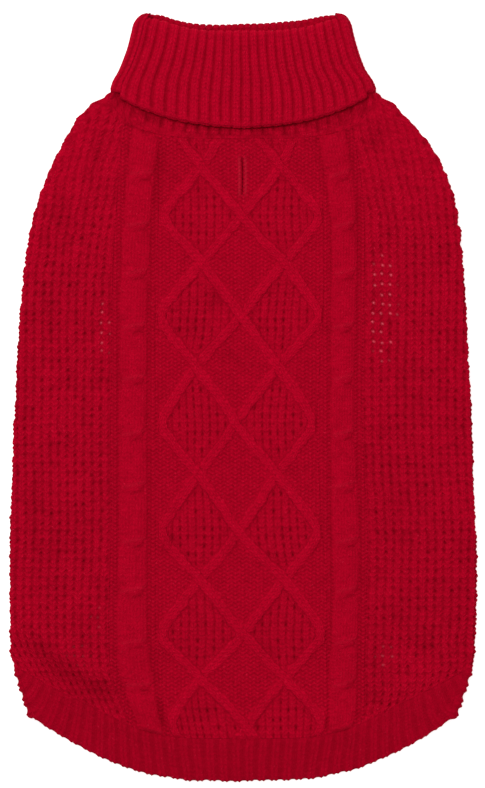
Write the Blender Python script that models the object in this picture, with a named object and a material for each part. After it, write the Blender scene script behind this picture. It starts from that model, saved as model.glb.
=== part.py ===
"""A dog's roll-neck sweater in cable knit, laid flat with its back upwards.

Four sewn pieces, each a closed solid wall of knitted cloth in its own object:
    back_panel   cable-knit panel that shows on top and wraps round both side folds to the underside
    belly_panel  plain panel on the underside, between the front-leg openings
    collar       ribbed neck tube, folded over outwards
    hem_band     ribbed band round the rear opening

Metres, +Z up. The sweater lies on z = 0 with its neck towards +Y, centred on x = y = 0.
Sizes are those of a medium sweater: 560 mm round the chest, 360 mm from neck seam to hem seam.
"""

import bmesh
import bpy
import numpy as np

# ---------------------------------------------------------------- driving sizes, metres

WALL = 0.0026              # knitted cloth of the body and of the neck tube
COLLAR_WALL = 0.0028       # ribbed turn-down
BAND_WALL = 0.0026         # ribbed hem band
SEAM_GAP = 0.0003          # clearance between sewn pieces
LAYER_GAP = 0.0008         # clearance between the cloth layers that lie on each other
NECK_HOLLOW = 0.0014       # flattened hollow inside the neck tube

RIB_RISE = 0.0013          # how far a rib stands over its furrow
BAND_RIB_RISE = 0.0011
BAND_RIB_ENDS = (0.75, 1.0, 0.85)  # share of that height at the hem seam, the middle and the free edge
CABLE_RISE = 0.0020        # rope cables over the ground
CABLE_PINCH = 0.4          # share of that height lost where the rope's halves cross
STRAND_RISE = 0.0013       # travelling strands of the diamonds
FILL_RISE = 0.0004         # textured filling of the diamonds

LIFT_RUN = 0.030           # length over which the body rises on to the folded collar
DROP_RUN = 0.030           # length over which the back comes down behind the belly's hem
DROP_DELAY = 0.004         # the back stays up this far past the belly's hem

BELLY_HALF = 0.066         # centre line to the belly seam
LEG_CENTRE_Y = 0.1023      # leg opening: an ellipse centred on the belly seam
LEG_HALF_WIDTH = 0.0252
LEG_HALF_LENGTH = 0.0378

SLIT_X = 0.0004            # leash slit on the back's centre line
SLIT_Y = 0.1332
SLIT_LENGTH = 0.0216
SLIT_WIDTH = 0.0015
SLIT_LIP_RISE = 0.0008
SLIT_STEPS = 8             # straight pieces in each of the slit's two arcs
SLIT_CUT = (-0.0010, 0.0200)  # lowest and highest point of the slit's cutter

COLLAR_RIBS = 25           # ribs on the collar's flat face
BAND_RIBS = 40             # ribs on the band's upper face
FOLD_STEPS = 5             # facets round a side fold of the body
COLLAR_FOLD_STEPS = 6      # facets round a side fold of the collar
FOLD_REACH = 0.0030        # round a side fold, seams are read up to this far past the flat cloth
LEVEL = 0.0002             # heights nearer than this count as level when a quad is split
EDGE_LEAN = 0.0008         # a cut edge leans back this much towards the inside of the cloth

# Heights in the stack of the neck: turned-under layer, stand, hollow, stand, turn-down
STAND_LIFT = COLLAR_WALL + SEAM_GAP
COLLAR_HEIGHT = 2 * (COLLAR_WALL + SEAM_GAP + WALL) + NECK_HOLLOW
NECK_TOP_LIFT = STAND_LIFT + NECK_HOLLOW - LAYER_GAP

# ---------------------------------------------------------------- outline tables, metres

# Side silhouette of the body. Columns: y, left half-width, right half-width
OUTLINE = (
    (-0.1893, 0.1284, 0.1280),
    (-0.1809, 0.1318, 0.1336),
    (-0.1725, 0.1344, 0.1362),
    (-0.1569, 0.1388, 0.1388),
    (-0.1329, 0.1401, 0.1399),
    (-0.0969, 0.1404, 0.1404),
    (-0.0489, 0.1391, 0.1388),
    (-0.0009, 0.1368, 0.1371),
    (0.0411, 0.1349, 0.1345),
    (0.0831, 0.1308, 0.1323),
    (0.1071, 0.1265, 0.1295),
    (0.1311, 0.1192, 0.1238),
    (0.1551, 0.1076, 0.1108),
    (0.1683, 0.0993, 0.0990),
    (0.1755, 0.0919, 0.0910),
    (0.1806, 0.0834, 0.0834),
)

# Seams and free edges, alike on both sides. Columns: distance from the centre line, y
NECK_SEAM_TOP = (
    (0.0000, 0.1557), (0.0408, 0.1566), (0.0558, 0.1593), (0.0708, 0.1665), (0.0800, 0.1775),
    (0.0834, 0.1806),
)
NECK_SEAM_UNDER = (
    (0.0000, 0.1590), (0.0408, 0.1600), (0.0558, 0.1624), (0.0708, 0.1688), (0.0800, 0.1775),
    (0.0834, 0.1806),
)
HEM_SEAM_TOP = (
    (0.0000, -0.2046), (0.0504, -0.2016), (0.0678, -0.1965), (0.0834, -0.1890), (0.0942, -0.1833),
    (0.1116, -0.1746), (0.1182, -0.1711), (0.1354, -0.1620), (0.1387, -0.1608),
)
HEM_SEAM_UNDER = (
    (0.0000, -0.0969), (0.0400, -0.1000), (0.0750, -0.1110), (0.1050, -0.1350), (0.1354, -0.1620),
    (0.1387, -0.1608),
)
HEM_EDGE_TOP = (
    (0.0000, -0.2304), (0.0318, -0.2292), (0.0588, -0.2250), (0.0768, -0.2190), (0.0948, -0.2110),
    (0.1128, -0.2007), (0.1218, -0.1945), (0.1284, -0.1893),
)
HEM_EDGE_UNDER = (
    (0.0000, -0.1227), (0.0400, -0.1290), (0.0750, -0.1479), (0.1050, -0.1700), (0.1284, -0.1893),
)
COLLAR_EDGE = (
    (0.0000, 0.1623), (0.0200, 0.1638), (0.0456, 0.1686), (0.0630, 0.1749), (0.0735, 0.1800),
    (0.0800, 0.1836),
)

# Mouth of the collar: where its fold lies. Columns: x, y of the back's fold, y of the throat's fold
MOUTH = (
    (-0.0612, 0.2286, 0.2304),
    (-0.0500, 0.2262, 0.2298),
    (-0.0408, 0.2232, 0.2271),
    (-0.0300, 0.2208, 0.2247),
    (0.0000, 0.2196, 0.2244),
    (0.0300, 0.2208, 0.2262),
    (0.0408, 0.2226, 0.2277),
    (0.0500, 0.2256, 0.2295),
    (0.0612, 0.2286, 0.2304),
)

# Side silhouette of the collar. Columns: y, left half-width, right half-width
COLLAR_SIDE = (
    (0.1500, 0.0796, 0.0800),
    (0.1827, 0.0795, 0.0800),
    (0.1899, 0.0776, 0.0774),
    (0.1971, 0.0737, 0.0727),
    (0.2043, 0.0708, 0.0698),
    (0.2115, 0.0684, 0.0675),
    (0.2187, 0.0666, 0.0655),
    (0.2259, 0.0646, 0.0638),
    (0.2304, 0.0612, 0.0612),
)

# Knit columns of the back. One line for each half repeat of the diamonds: row number, y, then x of the
# left cable's outer and inner edge, the diamonds' left corner, left crossing, centre, right crossing and
# right corner, and the right cable's inner and outer edge
WALES = (
    (11.2, -0.2046, -0.0624, -0.0462, -0.0420, -0.0210, 0.0030, 0.0252, 0.0474, 0.0500, 0.0666),
    (11.0, -0.1977, -0.0648, -0.0480, -0.0435, -0.0222, 0.0024, 0.0252, 0.0480, 0.0510, 0.0678),
    (10.0, -0.1683, -0.0744, -0.0540, -0.0474, -0.0256, 0.0012, 0.0251, 0.0474, 0.0512, 0.0684),
    (9.0, -0.1413, -0.0762, -0.0570, -0.0488, -0.0246, 0.0004, 0.0234, 0.0470, 0.0528, 0.0693),
    (8.0, -0.1089, -0.0756, -0.0573, -0.0488, -0.0256, -0.0009, 0.0252, 0.0468, 0.0540, 0.0699),
    (7.0, -0.0795, -0.0747, -0.0573, -0.0488, -0.0258, -0.0022, 0.0210, 0.0444, 0.0528, 0.0702),
    (6.0, -0.0455, -0.0748, -0.0570, -0.0486, -0.0269, -0.0033, 0.0204, 0.0426, 0.0524, 0.0684),
    (5.0, -0.0147, -0.0750, -0.0579, -0.0486, -0.0264, -0.0042, 0.0186, 0.0414, 0.0519, 0.0672),
    (4.0, 0.0189, -0.0744, -0.0573, -0.0492, -0.0285, -0.0030, 0.0212, 0.0432, 0.0522, 0.0672),
    (3.0, 0.0495, -0.0744, -0.0570, -0.0492, -0.0252, -0.0010, 0.0222, 0.0452, 0.0522, 0.0678),
    (2.0, 0.0816, -0.0735, -0.0558, -0.0483, -0.0244, -0.0010, 0.0248, 0.0456, 0.0528, 0.0687),
    (1.0, 0.1092, -0.0717, -0.0546, -0.0472, -0.0240, -0.0010, 0.0222, 0.0452, 0.0522, 0.0684),
    (0.0, 0.1392, -0.0690, -0.0519, -0.0468, -0.0250, -0.0010, 0.0231, 0.0414, 0.0480, 0.0648),
    (-0.5, 0.1557, -0.0660, -0.0492, -0.0450, -0.0258, -0.0018, 0.0192, 0.0366, 0.0450, 0.0612),
)
CABLE_L_OUT, CABLE_L_IN, DIAMOND_L, CENTRE_WALE, DIAMOND_R, CABLE_R_IN, CABLE_R_OUT = 2, 3, 4, 6, 8, 9, 10
FIRST_ROW = -0.5           # row number at the neck seam
LAST_ROW = 11.2            # row number at the hem seam
STEPS_PER_ROW = 6          # grid rows in half a diamond, and grid columns in half a diamond's width
HALF_REPEAT = (0.0240, 0.0307)  # usual size of half a diamond, across and along
CABLE_CROSSING = 0.26      # the cables cross this far after each numbered row
CROSSING_LENGTH = 0.13     # length of the pinch on each side of a crossing, in rows
CABLE_COLUMNS = 4
GAP_COLUMNS = 2
FURROW = 0.0042            # plain strip outside each cable
STRAND_HALF = 0.0031       # half the width of a travelling strand
CORNER_ROUND = 0.20        # rounding of the diamonds' outer corners, in half repeats

# How fast a seam's shape fades out along the rows: (from the neck, from the hem)
FADE_CENTRE = (12.0, 8.0)
FADE_FOLD = (6.0, 4.0)
FADE_FLAP = (5.0, 2.4)

MIDDLE_ROWS_STEP = 2       # the flanks and the plain inside use every second row
DENSE_ROWS = 2.6           # but every row down to this one, past the leg openings
INSIDE_COLUMNS_STEP = 3    # and every third column
FLANK_STEPS = 4
FLAP_STEPS = 2
BELLY_COLUMNS = 8
BELLY_ROWS = 30
BELLY_ROW_GROWTH = 1.4     # the belly's rows are closest at the neck, where it rises on to the collar

# ---------------------------------------------------------------- reading the tables


def through(x, points, column=1):
    """Smooth curve through a table's points: cubic pieces whose slopes are those of the neighbours."""
    table = np.array(sorted(points))
    xs = table[:, 0]
    ys = table[:, column]
    slopes = np.gradient(ys, xs)
    x = np.clip(x, xs[0], xs[-1])
    low = np.clip(np.searchsorted(xs, x) - 1, 0, len(xs) - 2)
    width = xs[low + 1] - xs[low]
    t = (x - xs[low]) / width
    start = (1 + 2 * t) * (1 - t) ** 2 * ys[low] + t * (1 - t) ** 2 * width * slopes[low]
    end = t * t * (3 - 2 * t) * ys[low + 1] - t * t * (1 - t) * width * slopes[low + 1]
    return start + end


def ease(t):
    """0 below 0, 1 above 1, and a smooth step between."""
    t = np.clip(t, 0.0, 1.0)
    return t * t * (3 - 2 * t)


def body_half_width(y, side):
    return through(y, OUTLINE, 1 if side < 0 else 2)


def collar_half_width(y, side):
    return through(y, COLLAR_SIDE, 1 if side < 0 else 2)


def belly_half_width(y):
    """Half the belly panel: straight seams, with half an ellipse bitten out for each leg."""
    inside = np.clip(1 - ((y - LEG_CENTRE_Y) / LEG_HALF_LENGTH) ** 2, 0, 1)
    return BELLY_HALF - LEG_HALF_WIDTH * np.sqrt(inside)


def flap_edge(y):
    """The back panel's edge on the underside, opposite belly_half_width."""
    return 2 * BELLY_HALF - belly_half_width(y)


# ---------------------------------------------------------------- heights of the laid layers


def under_height(x, y):
    """Lower face of the underside layer: on the ground, and raised where it meets the folded collar."""
    rise = 1 - ease((through(np.abs(x), NECK_SEAM_UNDER) - y) / LIFT_RUN)
    return STAND_LIFT * rise


def top_height(x, y):
    """Lower face of the top layer: over the underside layer, and on the ground behind the belly's hem."""
    rise = 1 - ease((through(np.abs(x), NECK_SEAM_TOP) - y) / LIFT_RUN)
    drop = ease((through(np.abs(x), HEM_EDGE_UNDER) - DROP_DELAY - y) / DROP_RUN)
    return NECK_TOP_LIFT * rise + (WALL + LAYER_GAP) * (1 - drop)


def fold_arc(limit_x, y, side, angle, inset=0.0):
    """A point on a side fold. limit_x is where the flat layers end; the fold is half a circle from the top
    layer's outer face (angle +90) to the underside layer's (angle -90), drawn inset further in."""
    low = under_height(limit_x, y)
    high = top_height(limit_x, y) + WALL
    radius = (high - low) / 2
    x = limit_x + (radius - inset) * np.cos(np.radians(angle))
    z = low + radius + (radius - inset) * np.sin(np.radians(angle))
    return side * x, z


def fold_limit(y, side):
    """Where the flat layers end: the outline less the fold's radius."""
    x = body_half_width(y, side)
    radius = (top_height(x, y) + WALL - under_height(x, y)) / 2
    return x - radius


def neck_fold(side):
    return fold_limit(NECK_SEAM_TOP[-1][1], side)


def hem_fold(side):
    return fold_limit(HEM_SEAM_TOP[-1][1], side)


def under_stations():
    """Shared by every piece that meets on the underside: shares of the belly's half-width from -1 to 1 are
    columns of the belly, and shares beyond are columns of the flaps, as (flap share, side)."""
    belly = [(k, 0) for k in np.linspace(1, -1, BELLY_COLUMNS + 1)]
    right = [(1 - k / FLAP_STEPS, 1) for k in range(FLAP_STEPS)]
    left = [(k / FLAP_STEPS, -1) for k in range(1, FLAP_STEPS + 1)]
    return right + belly + left


def station_x(share, side, limit):
    """Distance x of an underside station where the flaps end at limit."""
    if side == 0:
        return share * BELLY_HALF
    return side * (BELLY_HALF + (limit - BELLY_HALF) * share)


# ---------------------------------------------------------------- making meshes


def grid_faces(net, heights=None):
    """Triangles of a net of vertex numbers. Each quad is split along the diagonal whose ends are nearer in
    height, or along the higher one where both are level, so that ridges stay unbroken."""
    if heights is None:
        heights = np.zeros(net.shape)
    faces = []
    for i in range(net.shape[0] - 1):
        for j in range(net.shape[1] - 1):
            a, b, c, d = net[i, j], net[i, j + 1], net[i + 1, j + 1], net[i + 1, j]
            ha, hb, hc, hd = heights[i, j], heights[i, j + 1], heights[i + 1, j + 1], heights[i + 1, j]
            gap_ac = abs(ha - hc)
            gap_bd = abs(hb - hd)
            level = abs(gap_ac - gap_bd) < LEVEL
            if (hb + hd > ha + hc) if level else (gap_bd < gap_ac):
                faces += [(a, b, d), (b, c, d)]
            else:
                faces += [(a, b, c), (a, c, d)]
    return faces


def zip_faces(first, first_at, second, second_at):
    """Triangles between two rows of vertices that run side by side, read at growing positions."""
    faces = []
    i = 0
    j = 0
    while i < len(first) - 1 or j < len(second) - 1:
        if j == len(second) - 1:
            step_first = True
        elif i == len(first) - 1:
            step_first = False
        else:
            step_first = first_at[i + 1] + first_at[i] <= second_at[j + 1] + second_at[j]
        if step_first:
            faces.append((first[i], first[i + 1], second[j]))
            i += 1
        else:
            faces.append((first[i], second[j + 1], second[j]))
            j += 1
    return faces


class Points:
    """Collects vertices and hands out their numbers as nets."""

    def __init__(self):
        self.parts = []
        self.count = 0

    def add(self, points):
        shape = points.shape[:-1]
        self.parts.append(points.reshape(-1, 3))
        numbers = np.arange(self.count, self.count + int(np.prod(shape))).reshape(shape)
        self.count += numbers.size
        return numbers

    def all(self):
        return np.concatenate(self.parts)


def make_material(name, colour, roughness):
    material = bpy.data.materials.new(name)
    material.use_nodes = True
    shader = material.node_tree.nodes["Principled BSDF"]
    shader.inputs["Base Color"].default_value = (*colour, 1.0)
    shader.inputs["Roughness"].default_value = roughness
    shader.inputs["Metallic"].default_value = 0.0
    return material


def make_object(name, points, faces, material, collection):
    """A mesh object from points and faces, with its faces turned outwards."""
    mesh = bpy.data.meshes.new(name)
    mesh.from_pydata([tuple(map(float, p)) for p in points], [], [tuple(map(int, f)) for f in faces])
    shell = bmesh.new()
    shell.from_mesh(mesh)
    bmesh.ops.recalc_face_normals(shell, faces=shell.faces)
    shell.to_mesh(mesh)
    shell.free()
    mesh.materials.append(material)
    obj = bpy.data.objects.new(name, mesh)
    collection.objects.link(obj)
    return obj


# ---------------------------------------------------------------- back panel

FULL_STEPS = np.arange(round(FIRST_ROW * STEPS_PER_ROW), int(LAST_ROW) * STEPS_PER_ROW + 1)
ROW_NUMBERS = np.append(FULL_STEPS / STEPS_PER_ROW, LAST_ROW)


def key_rows():
    """Rows shared by the fine middle and the coarser flanks and inside."""
    last = len(ROW_NUMBERS) - 1
    return [k for k in range(last + 1) if ROW_NUMBERS[k] <= DENSE_ROWS or (last - k) % MIDDLE_ROWS_STEP == 0]


def wale_columns():
    """Columns of the cabled middle: the two columns of the table that each lies between, and its share of
    the way, or a distance in metres where both are the same."""
    columns = [(CABLE_L_OUT, CABLE_L_OUT, -FURROW)]
    for k in range(CABLE_COLUMNS):
        columns.append((CABLE_L_OUT, CABLE_L_IN, k / CABLE_COLUMNS))
    for k in range(GAP_COLUMNS):
        columns.append((CABLE_L_IN, DIAMOND_L, k / GAP_COLUMNS))
    for wale in range(DIAMOND_L, DIAMOND_R):
        for k in range(STEPS_PER_ROW):
            columns.append((wale, wale + 1, k / STEPS_PER_ROW))
    for k in range(GAP_COLUMNS):
        columns.append((DIAMOND_R, CABLE_R_IN, k / GAP_COLUMNS))
    for k in range(CABLE_COLUMNS + 1):
        columns.append((CABLE_R_IN, CABLE_R_OUT, k / CABLE_COLUMNS))
    columns.append((CABLE_R_OUT, CABLE_R_OUT, FURROW))
    return columns


def seam_shift(ends, fade, rows):
    """How far a column's points move so that its ends meet the two seams; it fades along the rows."""
    t = (rows - FIRST_ROW) / (LAST_ROW - FIRST_ROW)
    return ends[0] * (1 - t) ** fade[0] + ends[1] * t ** fade[1]


def rounded_corner(across, rows):
    """Rounds the diamonds' outer corners: moves the columns so that the outer strand, which runs through the
    points at 2 - d, follows the curve 2 - k (sqrt(d^2 + r^2) - r), where d is the distance to an odd row."""
    d = to_odd_row(rows)
    k = 1 / (np.hypot(1, CORNER_ROUND) - CORNER_ROUND)
    strand = 2 - k * (np.hypot(d, CORNER_ROUND) - CORNER_ROUND)
    a = np.abs(across)
    corner = 2 - d
    edge = 2 + 1 / STEPS_PER_ROW
    inside = 1 + (a - 1) * (strand - 1) / np.maximum(corner - 1, 0.01)
    outside = strand + (a - corner) * (edge - strand) / (edge - corner)
    moved = np.where(a <= 1, a, np.where(a <= corner, inside, outside))
    return np.sign(across) * np.where(a < edge, moved, a)


def to_odd_row(rows):
    """Distance to the nearest odd row, in half repeats."""
    return np.abs((rows - 1) - 2 * np.round((rows - 1) / 2))


def middle_points():
    """x, y and the knit position (half diamonds across, rows down) of the cabled middle."""
    base_y = through(ROW_NUMBERS, WALES, 1)
    columns = wale_columns()
    shape = (len(ROW_NUMBERS), len(columns))
    x = np.zeros(shape)
    y = np.zeros(shape)
    across = np.zeros(shape)
    for j, (wale_a, wale_b, share) in enumerate(columns):
        x_a = through(ROW_NUMBERS, WALES, wale_a)
        if wale_a == wale_b:
            x[:, j] = x_a + share
            across[:, j] = wale_a - CENTRE_WALE
        else:
            if DIAMOND_L <= wale_a < DIAMOND_R:
                across[:, j] = wale_a - CENTRE_WALE + share
                share = rounded_corner(across[:, j], ROW_NUMBERS) - (wale_a - CENTRE_WALE)
            x[:, j] = x_a + (through(ROW_NUMBERS, WALES, wale_b) - x_a) * share
        ends = (
            through(abs(x[0, j]), NECK_SEAM_TOP) - base_y[0],
            through(abs(x[-1, j]), HEM_SEAM_TOP) - base_y[-1],
        )
        y[:, j] = base_y + seam_shift(ends, FADE_CENTRE, ROW_NUMBERS)
    return x, y, across


def cable_relief(share, rows):
    """Height of a rope cable at a share of its width: a rounded rope, pinched where its halves cross."""
    phase = rows - CABLE_CROSSING
    pinch = 1 - CABLE_PINCH * np.exp(-((phase - np.round(phase)) / CROSSING_LENGTH) ** 2)
    profile = np.sqrt(np.clip(1 - (2 * share - 1) ** 2, 0, 1))
    return CABLE_RISE * profile * pinch


def diamond_relief(across, rows, unit):
    """Height of the travelling strands and of the diamonds' filling. Two strands run through each half:
    one at |across| = d, through the centre's crossings, and one at 2 - d, where d is the distance to an
    odd row. unit is the length square to a strand for a step of 1 in |across|."""
    a = np.abs(across)
    d = to_odd_row(rows)
    distance = np.minimum(np.abs(a - d), np.abs(a - (2 - d))) * unit
    strand = np.clip(1 - (distance / STRAND_HALF) ** 2, 0, 1)
    filled = (a > d) & (a < 2 - d)
    return np.maximum(STRAND_RISE * strand, FILL_RISE * filled)


def middle_relief(across):
    """Relief of the cabled middle, column by column from the knit positions."""
    rows = np.repeat(ROW_NUMBERS[:, None], across.shape[1], axis=1)
    relief = np.zeros(across.shape)
    first_cable = 1
    last_cable = across.shape[1] - 2 - CABLE_COLUMNS
    for k in range(CABLE_COLUMNS + 1):
        relief[:, first_cable + k] = cable_relief(k / CABLE_COLUMNS, ROW_NUMBERS)
        relief[:, last_cable + k] = cable_relief(k / CABLE_COLUMNS, ROW_NUMBERS)
    start = first_cable + CABLE_COLUMNS + GAP_COLUMNS
    stop = start + 4 * STEPS_PER_ROW + 1
    unit = HALF_REPEAT[0] * HALF_REPEAT[1] / np.hypot(*HALF_REPEAT)
    relief[:, start:stop] = diamond_relief(across[:, start:stop], rows[:, start:stop], unit)
    return relief


def side_columns(x_edge, y_edge, side, rows):
    """Outer points of one flank, its fold and its flap, from the middle's edge outwards and under."""
    base_y = through(rows, WALES, 1)
    neck_limit = neck_fold(side)
    hem_limit = hem_fold(side)
    columns = []

    def rows_y(x_neck, x_hem, neck_seam, hem_seam, fade):
        """y of a column that meets the two seams at x_neck and x_hem."""
        y_neck = through(x_neck, neck_seam) - base_y[0]
        y_hem = through(x_hem, hem_seam) - base_y[-1]
        return base_y + seam_shift((y_neck, y_hem), fade, rows)

    def mixed(fade_a, fade_b, share):
        return tuple(a + (b - a) * share for a, b in zip(fade_a, fade_b))

    def pinned(x, x_neck, x_hem, fade):
        """x of a column, moved so that its ends lie at x_neck and x_hem."""
        return x + seam_shift((x_neck - x[0], x_hem - x[-1]), fade, rows)

    for k in range(1, FLANK_STEPS + 1):
        share = k / FLANK_STEPS
        x_neck = x_edge[0] + (neck_limit - x_edge[0]) * share
        x_hem = x_edge[-1] + (hem_limit - x_edge[-1]) * share
        fade = mixed(FADE_CENTRE, FADE_FOLD, share)
        y = rows_y(x_neck, x_hem, NECK_SEAM_TOP, HEM_SEAM_TOP, fade)
        x = pinned(x_edge + (fold_limit(y, side) - x_edge) * share, x_neck, x_hem, fade)
        columns.append((side * x, y, top_height(x, y) + WALL))
    for k in range(1, FOLD_STEPS):
        angle = 90 - 180 * k / FOLD_STEPS
        reach = FOLD_REACH * np.cos(np.radians(angle))
        y = rows_y(neck_limit + reach, hem_limit + reach, NECK_SEAM_TOP, HEM_SEAM_TOP, FADE_FOLD)
        limit = fold_limit(y, side)
        x, z = fold_arc(limit, y, side, angle)
        columns.append((x, y, z))
    for k in range(FLAP_STEPS + 1):
        share = k / FLAP_STEPS
        fade = mixed(FADE_FOLD, FADE_FLAP, share)
        x_neck = neck_limit + (BELLY_HALF + SEAM_GAP / 2 - neck_limit) * share
        x_hem = hem_limit + (BELLY_HALF + SEAM_GAP / 2 - hem_limit) * share
        y = rows_y(x_neck, x_hem, NECK_SEAM_UNDER, HEM_SEAM_UNDER, fade)
        limit = fold_limit(y, side)
        x = pinned(limit + (flap_edge(y) + SEAM_GAP / 2 - limit) * share, x_neck, x_hem, FADE_CENTRE)
        if share == 1:
            x = flap_edge(y) + SEAM_GAP / 2
        columns.append((side * x, y, under_height(x, y)))
    return np.array(columns).transpose(2, 0, 1)


def build_back_panel(material, collection):
    x, y, across = middle_points()
    relief = middle_relief(across)
    slit_rows = np.abs(y - SLIT_Y) < SLIT_LENGTH / 2
    centre = np.abs(across) < 0.01
    relief = relief + SLIT_LIP_RISE * (slit_rows & centre)
    middle = np.stack([x, y, top_height(x, y) + WALL + relief], axis=-1)
    keys = key_rows()
    rows = ROW_NUMBERS[keys]
    left = side_columns(-x[keys, 0], y[keys, 0], -1, rows)
    right = side_columns(x[keys, -1], y[keys, -1], 1, rows)

    points = Points()
    net = points.add(middle)
    net_left = points.add(left)
    net_right = points.add(right)
    faces = grid_faces(net, relief)
    every_row = np.arange(len(ROW_NUMBERS))
    for side_net, side_points, column in ((net_left, left, 0), (net_right, right, -1)):
        faces += zip_faces(net[:, column], every_row, side_net[:, 0], keys)
        faces += grid_faces(side_net, side_points[..., 2])

    # the plain inside: a few of the same columns, moved in by the wall
    last = x.shape[1] - 1
    kept = sorted(set(range(0, last + 1, INSIDE_COLUMNS_STEP)) | {last})
    inner_middle = middle[keys][:, kept].copy()
    inner_middle[..., 2] = top_height(inner_middle[..., 0], inner_middle[..., 1])

    side_kept = list(range(FLANK_STEPS)) + list(range(FLANK_STEPS + FOLD_STEPS - 1, left.shape[1]))

    def inner_side(outer):
        inner = outer[:, side_kept].copy()
        inner[:, :FLANK_STEPS, 2] -= WALL
        inner[:, FLANK_STEPS:, 2] += WALL
        return inner

    inner = np.concatenate([inner_side(left)[:, ::-1], inner_middle, inner_side(right)], axis=1)
    inner[0, :, 1] -= EDGE_LEAN
    inner[-1, :, 1] += EDGE_LEAN
    net_inner = points.add(inner)
    faces += grid_faces(net_inner, inner[..., 2])

    # cut edges: neck seam, hem seam, and the two edges on the underside
    side_count = net_left.shape[1]
    outer_at = np.arange(-side_count, last + 1 + side_count)
    side_at = [k + 1 for k in side_kept]
    inner_at = [-k for k in side_at[::-1]] + kept + [last + k for k in side_at]
    for row in (0, -1):
        outer_edge = np.concatenate([net_left[row, ::-1], net[row], net_right[row]])
        faces += zip_faces(outer_edge, outer_at, net_inner[row], inner_at)
    for outer_column, inner_column in ((net_left[:, -1], 0), (net_right[:, -1], -1)):
        faces += grid_faces(np.stack([outer_column, net_inner[:, inner_column]], axis=1))
    return make_object("back_panel", points.all(), faces, material, collection)


def cut_leash_slit(panel, cutters):
    """Cuts the slit with a lens-shaped prism: two arcs that meet in points."""
    t = np.linspace(-1, 1, SLIT_STEPS + 1)
    bulge = SLIT_WIDTH / 2 * (1 - t * t)
    right = np.stack([SLIT_X + bulge, SLIT_Y + t * SLIT_LENGTH / 2], axis=1)
    left = np.stack([SLIT_X - bulge, SLIT_Y + t * SLIT_LENGTH / 2], axis=1)[-2:0:-1]
    outline = np.concatenate([right, left])
    count = len(outline)
    low = np.column_stack([outline, np.full(count, SLIT_CUT[0])])
    high = np.column_stack([outline, np.full(count, SLIT_CUT[1])])
    around = np.arange(count)
    faces = [tuple(around), tuple(around + count)]
    faces += [(k, (k + 1) % count, (k + 1) % count + count, k + count) for k in range(count)]
    material = panel.data.materials[0]
    cutter = make_object("leash_slit_cutter", np.concatenate([low, high]), faces, material, cutters)
    cutter.hide_render = True
    cutter.display_type = "WIRE"
    cut = panel.modifiers.new("leash_slit", "BOOLEAN")
    cut.operation = "DIFFERENCE"
    cut.object = cutter


# ---------------------------------------------------------------- belly panel

def build_belly_panel(material, collection):
    """A plain panel between the flaps: upper and lower face share one net, with straight cut edges."""
    shares = np.linspace(-1, 1, BELLY_COLUMNS + 1)
    t = np.linspace(0, 1, BELLY_ROWS + 1)[:, None] ** BELLY_ROW_GROWTH
    seam = BELLY_HALF - SEAM_GAP / 2
    y_neck = through(np.abs(shares) * seam, NECK_SEAM_UNDER)
    y_hem = through(np.abs(shares) * seam, HEM_SEAM_UNDER)
    y = y_neck + (y_hem - y_neck) * t
    x = shares * (belly_half_width(y) - SEAM_GAP / 2)
    low = np.stack([x, y, under_height(x, y)], axis=-1)
    high = low + np.array([0, 0, WALL])
    points = Points()
    net_low = points.add(low)
    net_high = points.add(high)
    faces = grid_faces(net_low) + grid_faces(net_high)
    for edge in ((0, slice(None)), (-1, slice(None)), (slice(None), 0), (slice(None), -1)):
        faces += grid_faces(np.stack([net_low[edge], net_high[edge]], axis=1))
    return make_object("belly_panel", points.all(), faces, material, collection)


# ---------------------------------------------------------------- hem band


RIB_WAVE = (0.0, 1.0, 1.0)  # height of a rib at its points: furrow, and the two sides of its crest


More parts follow.
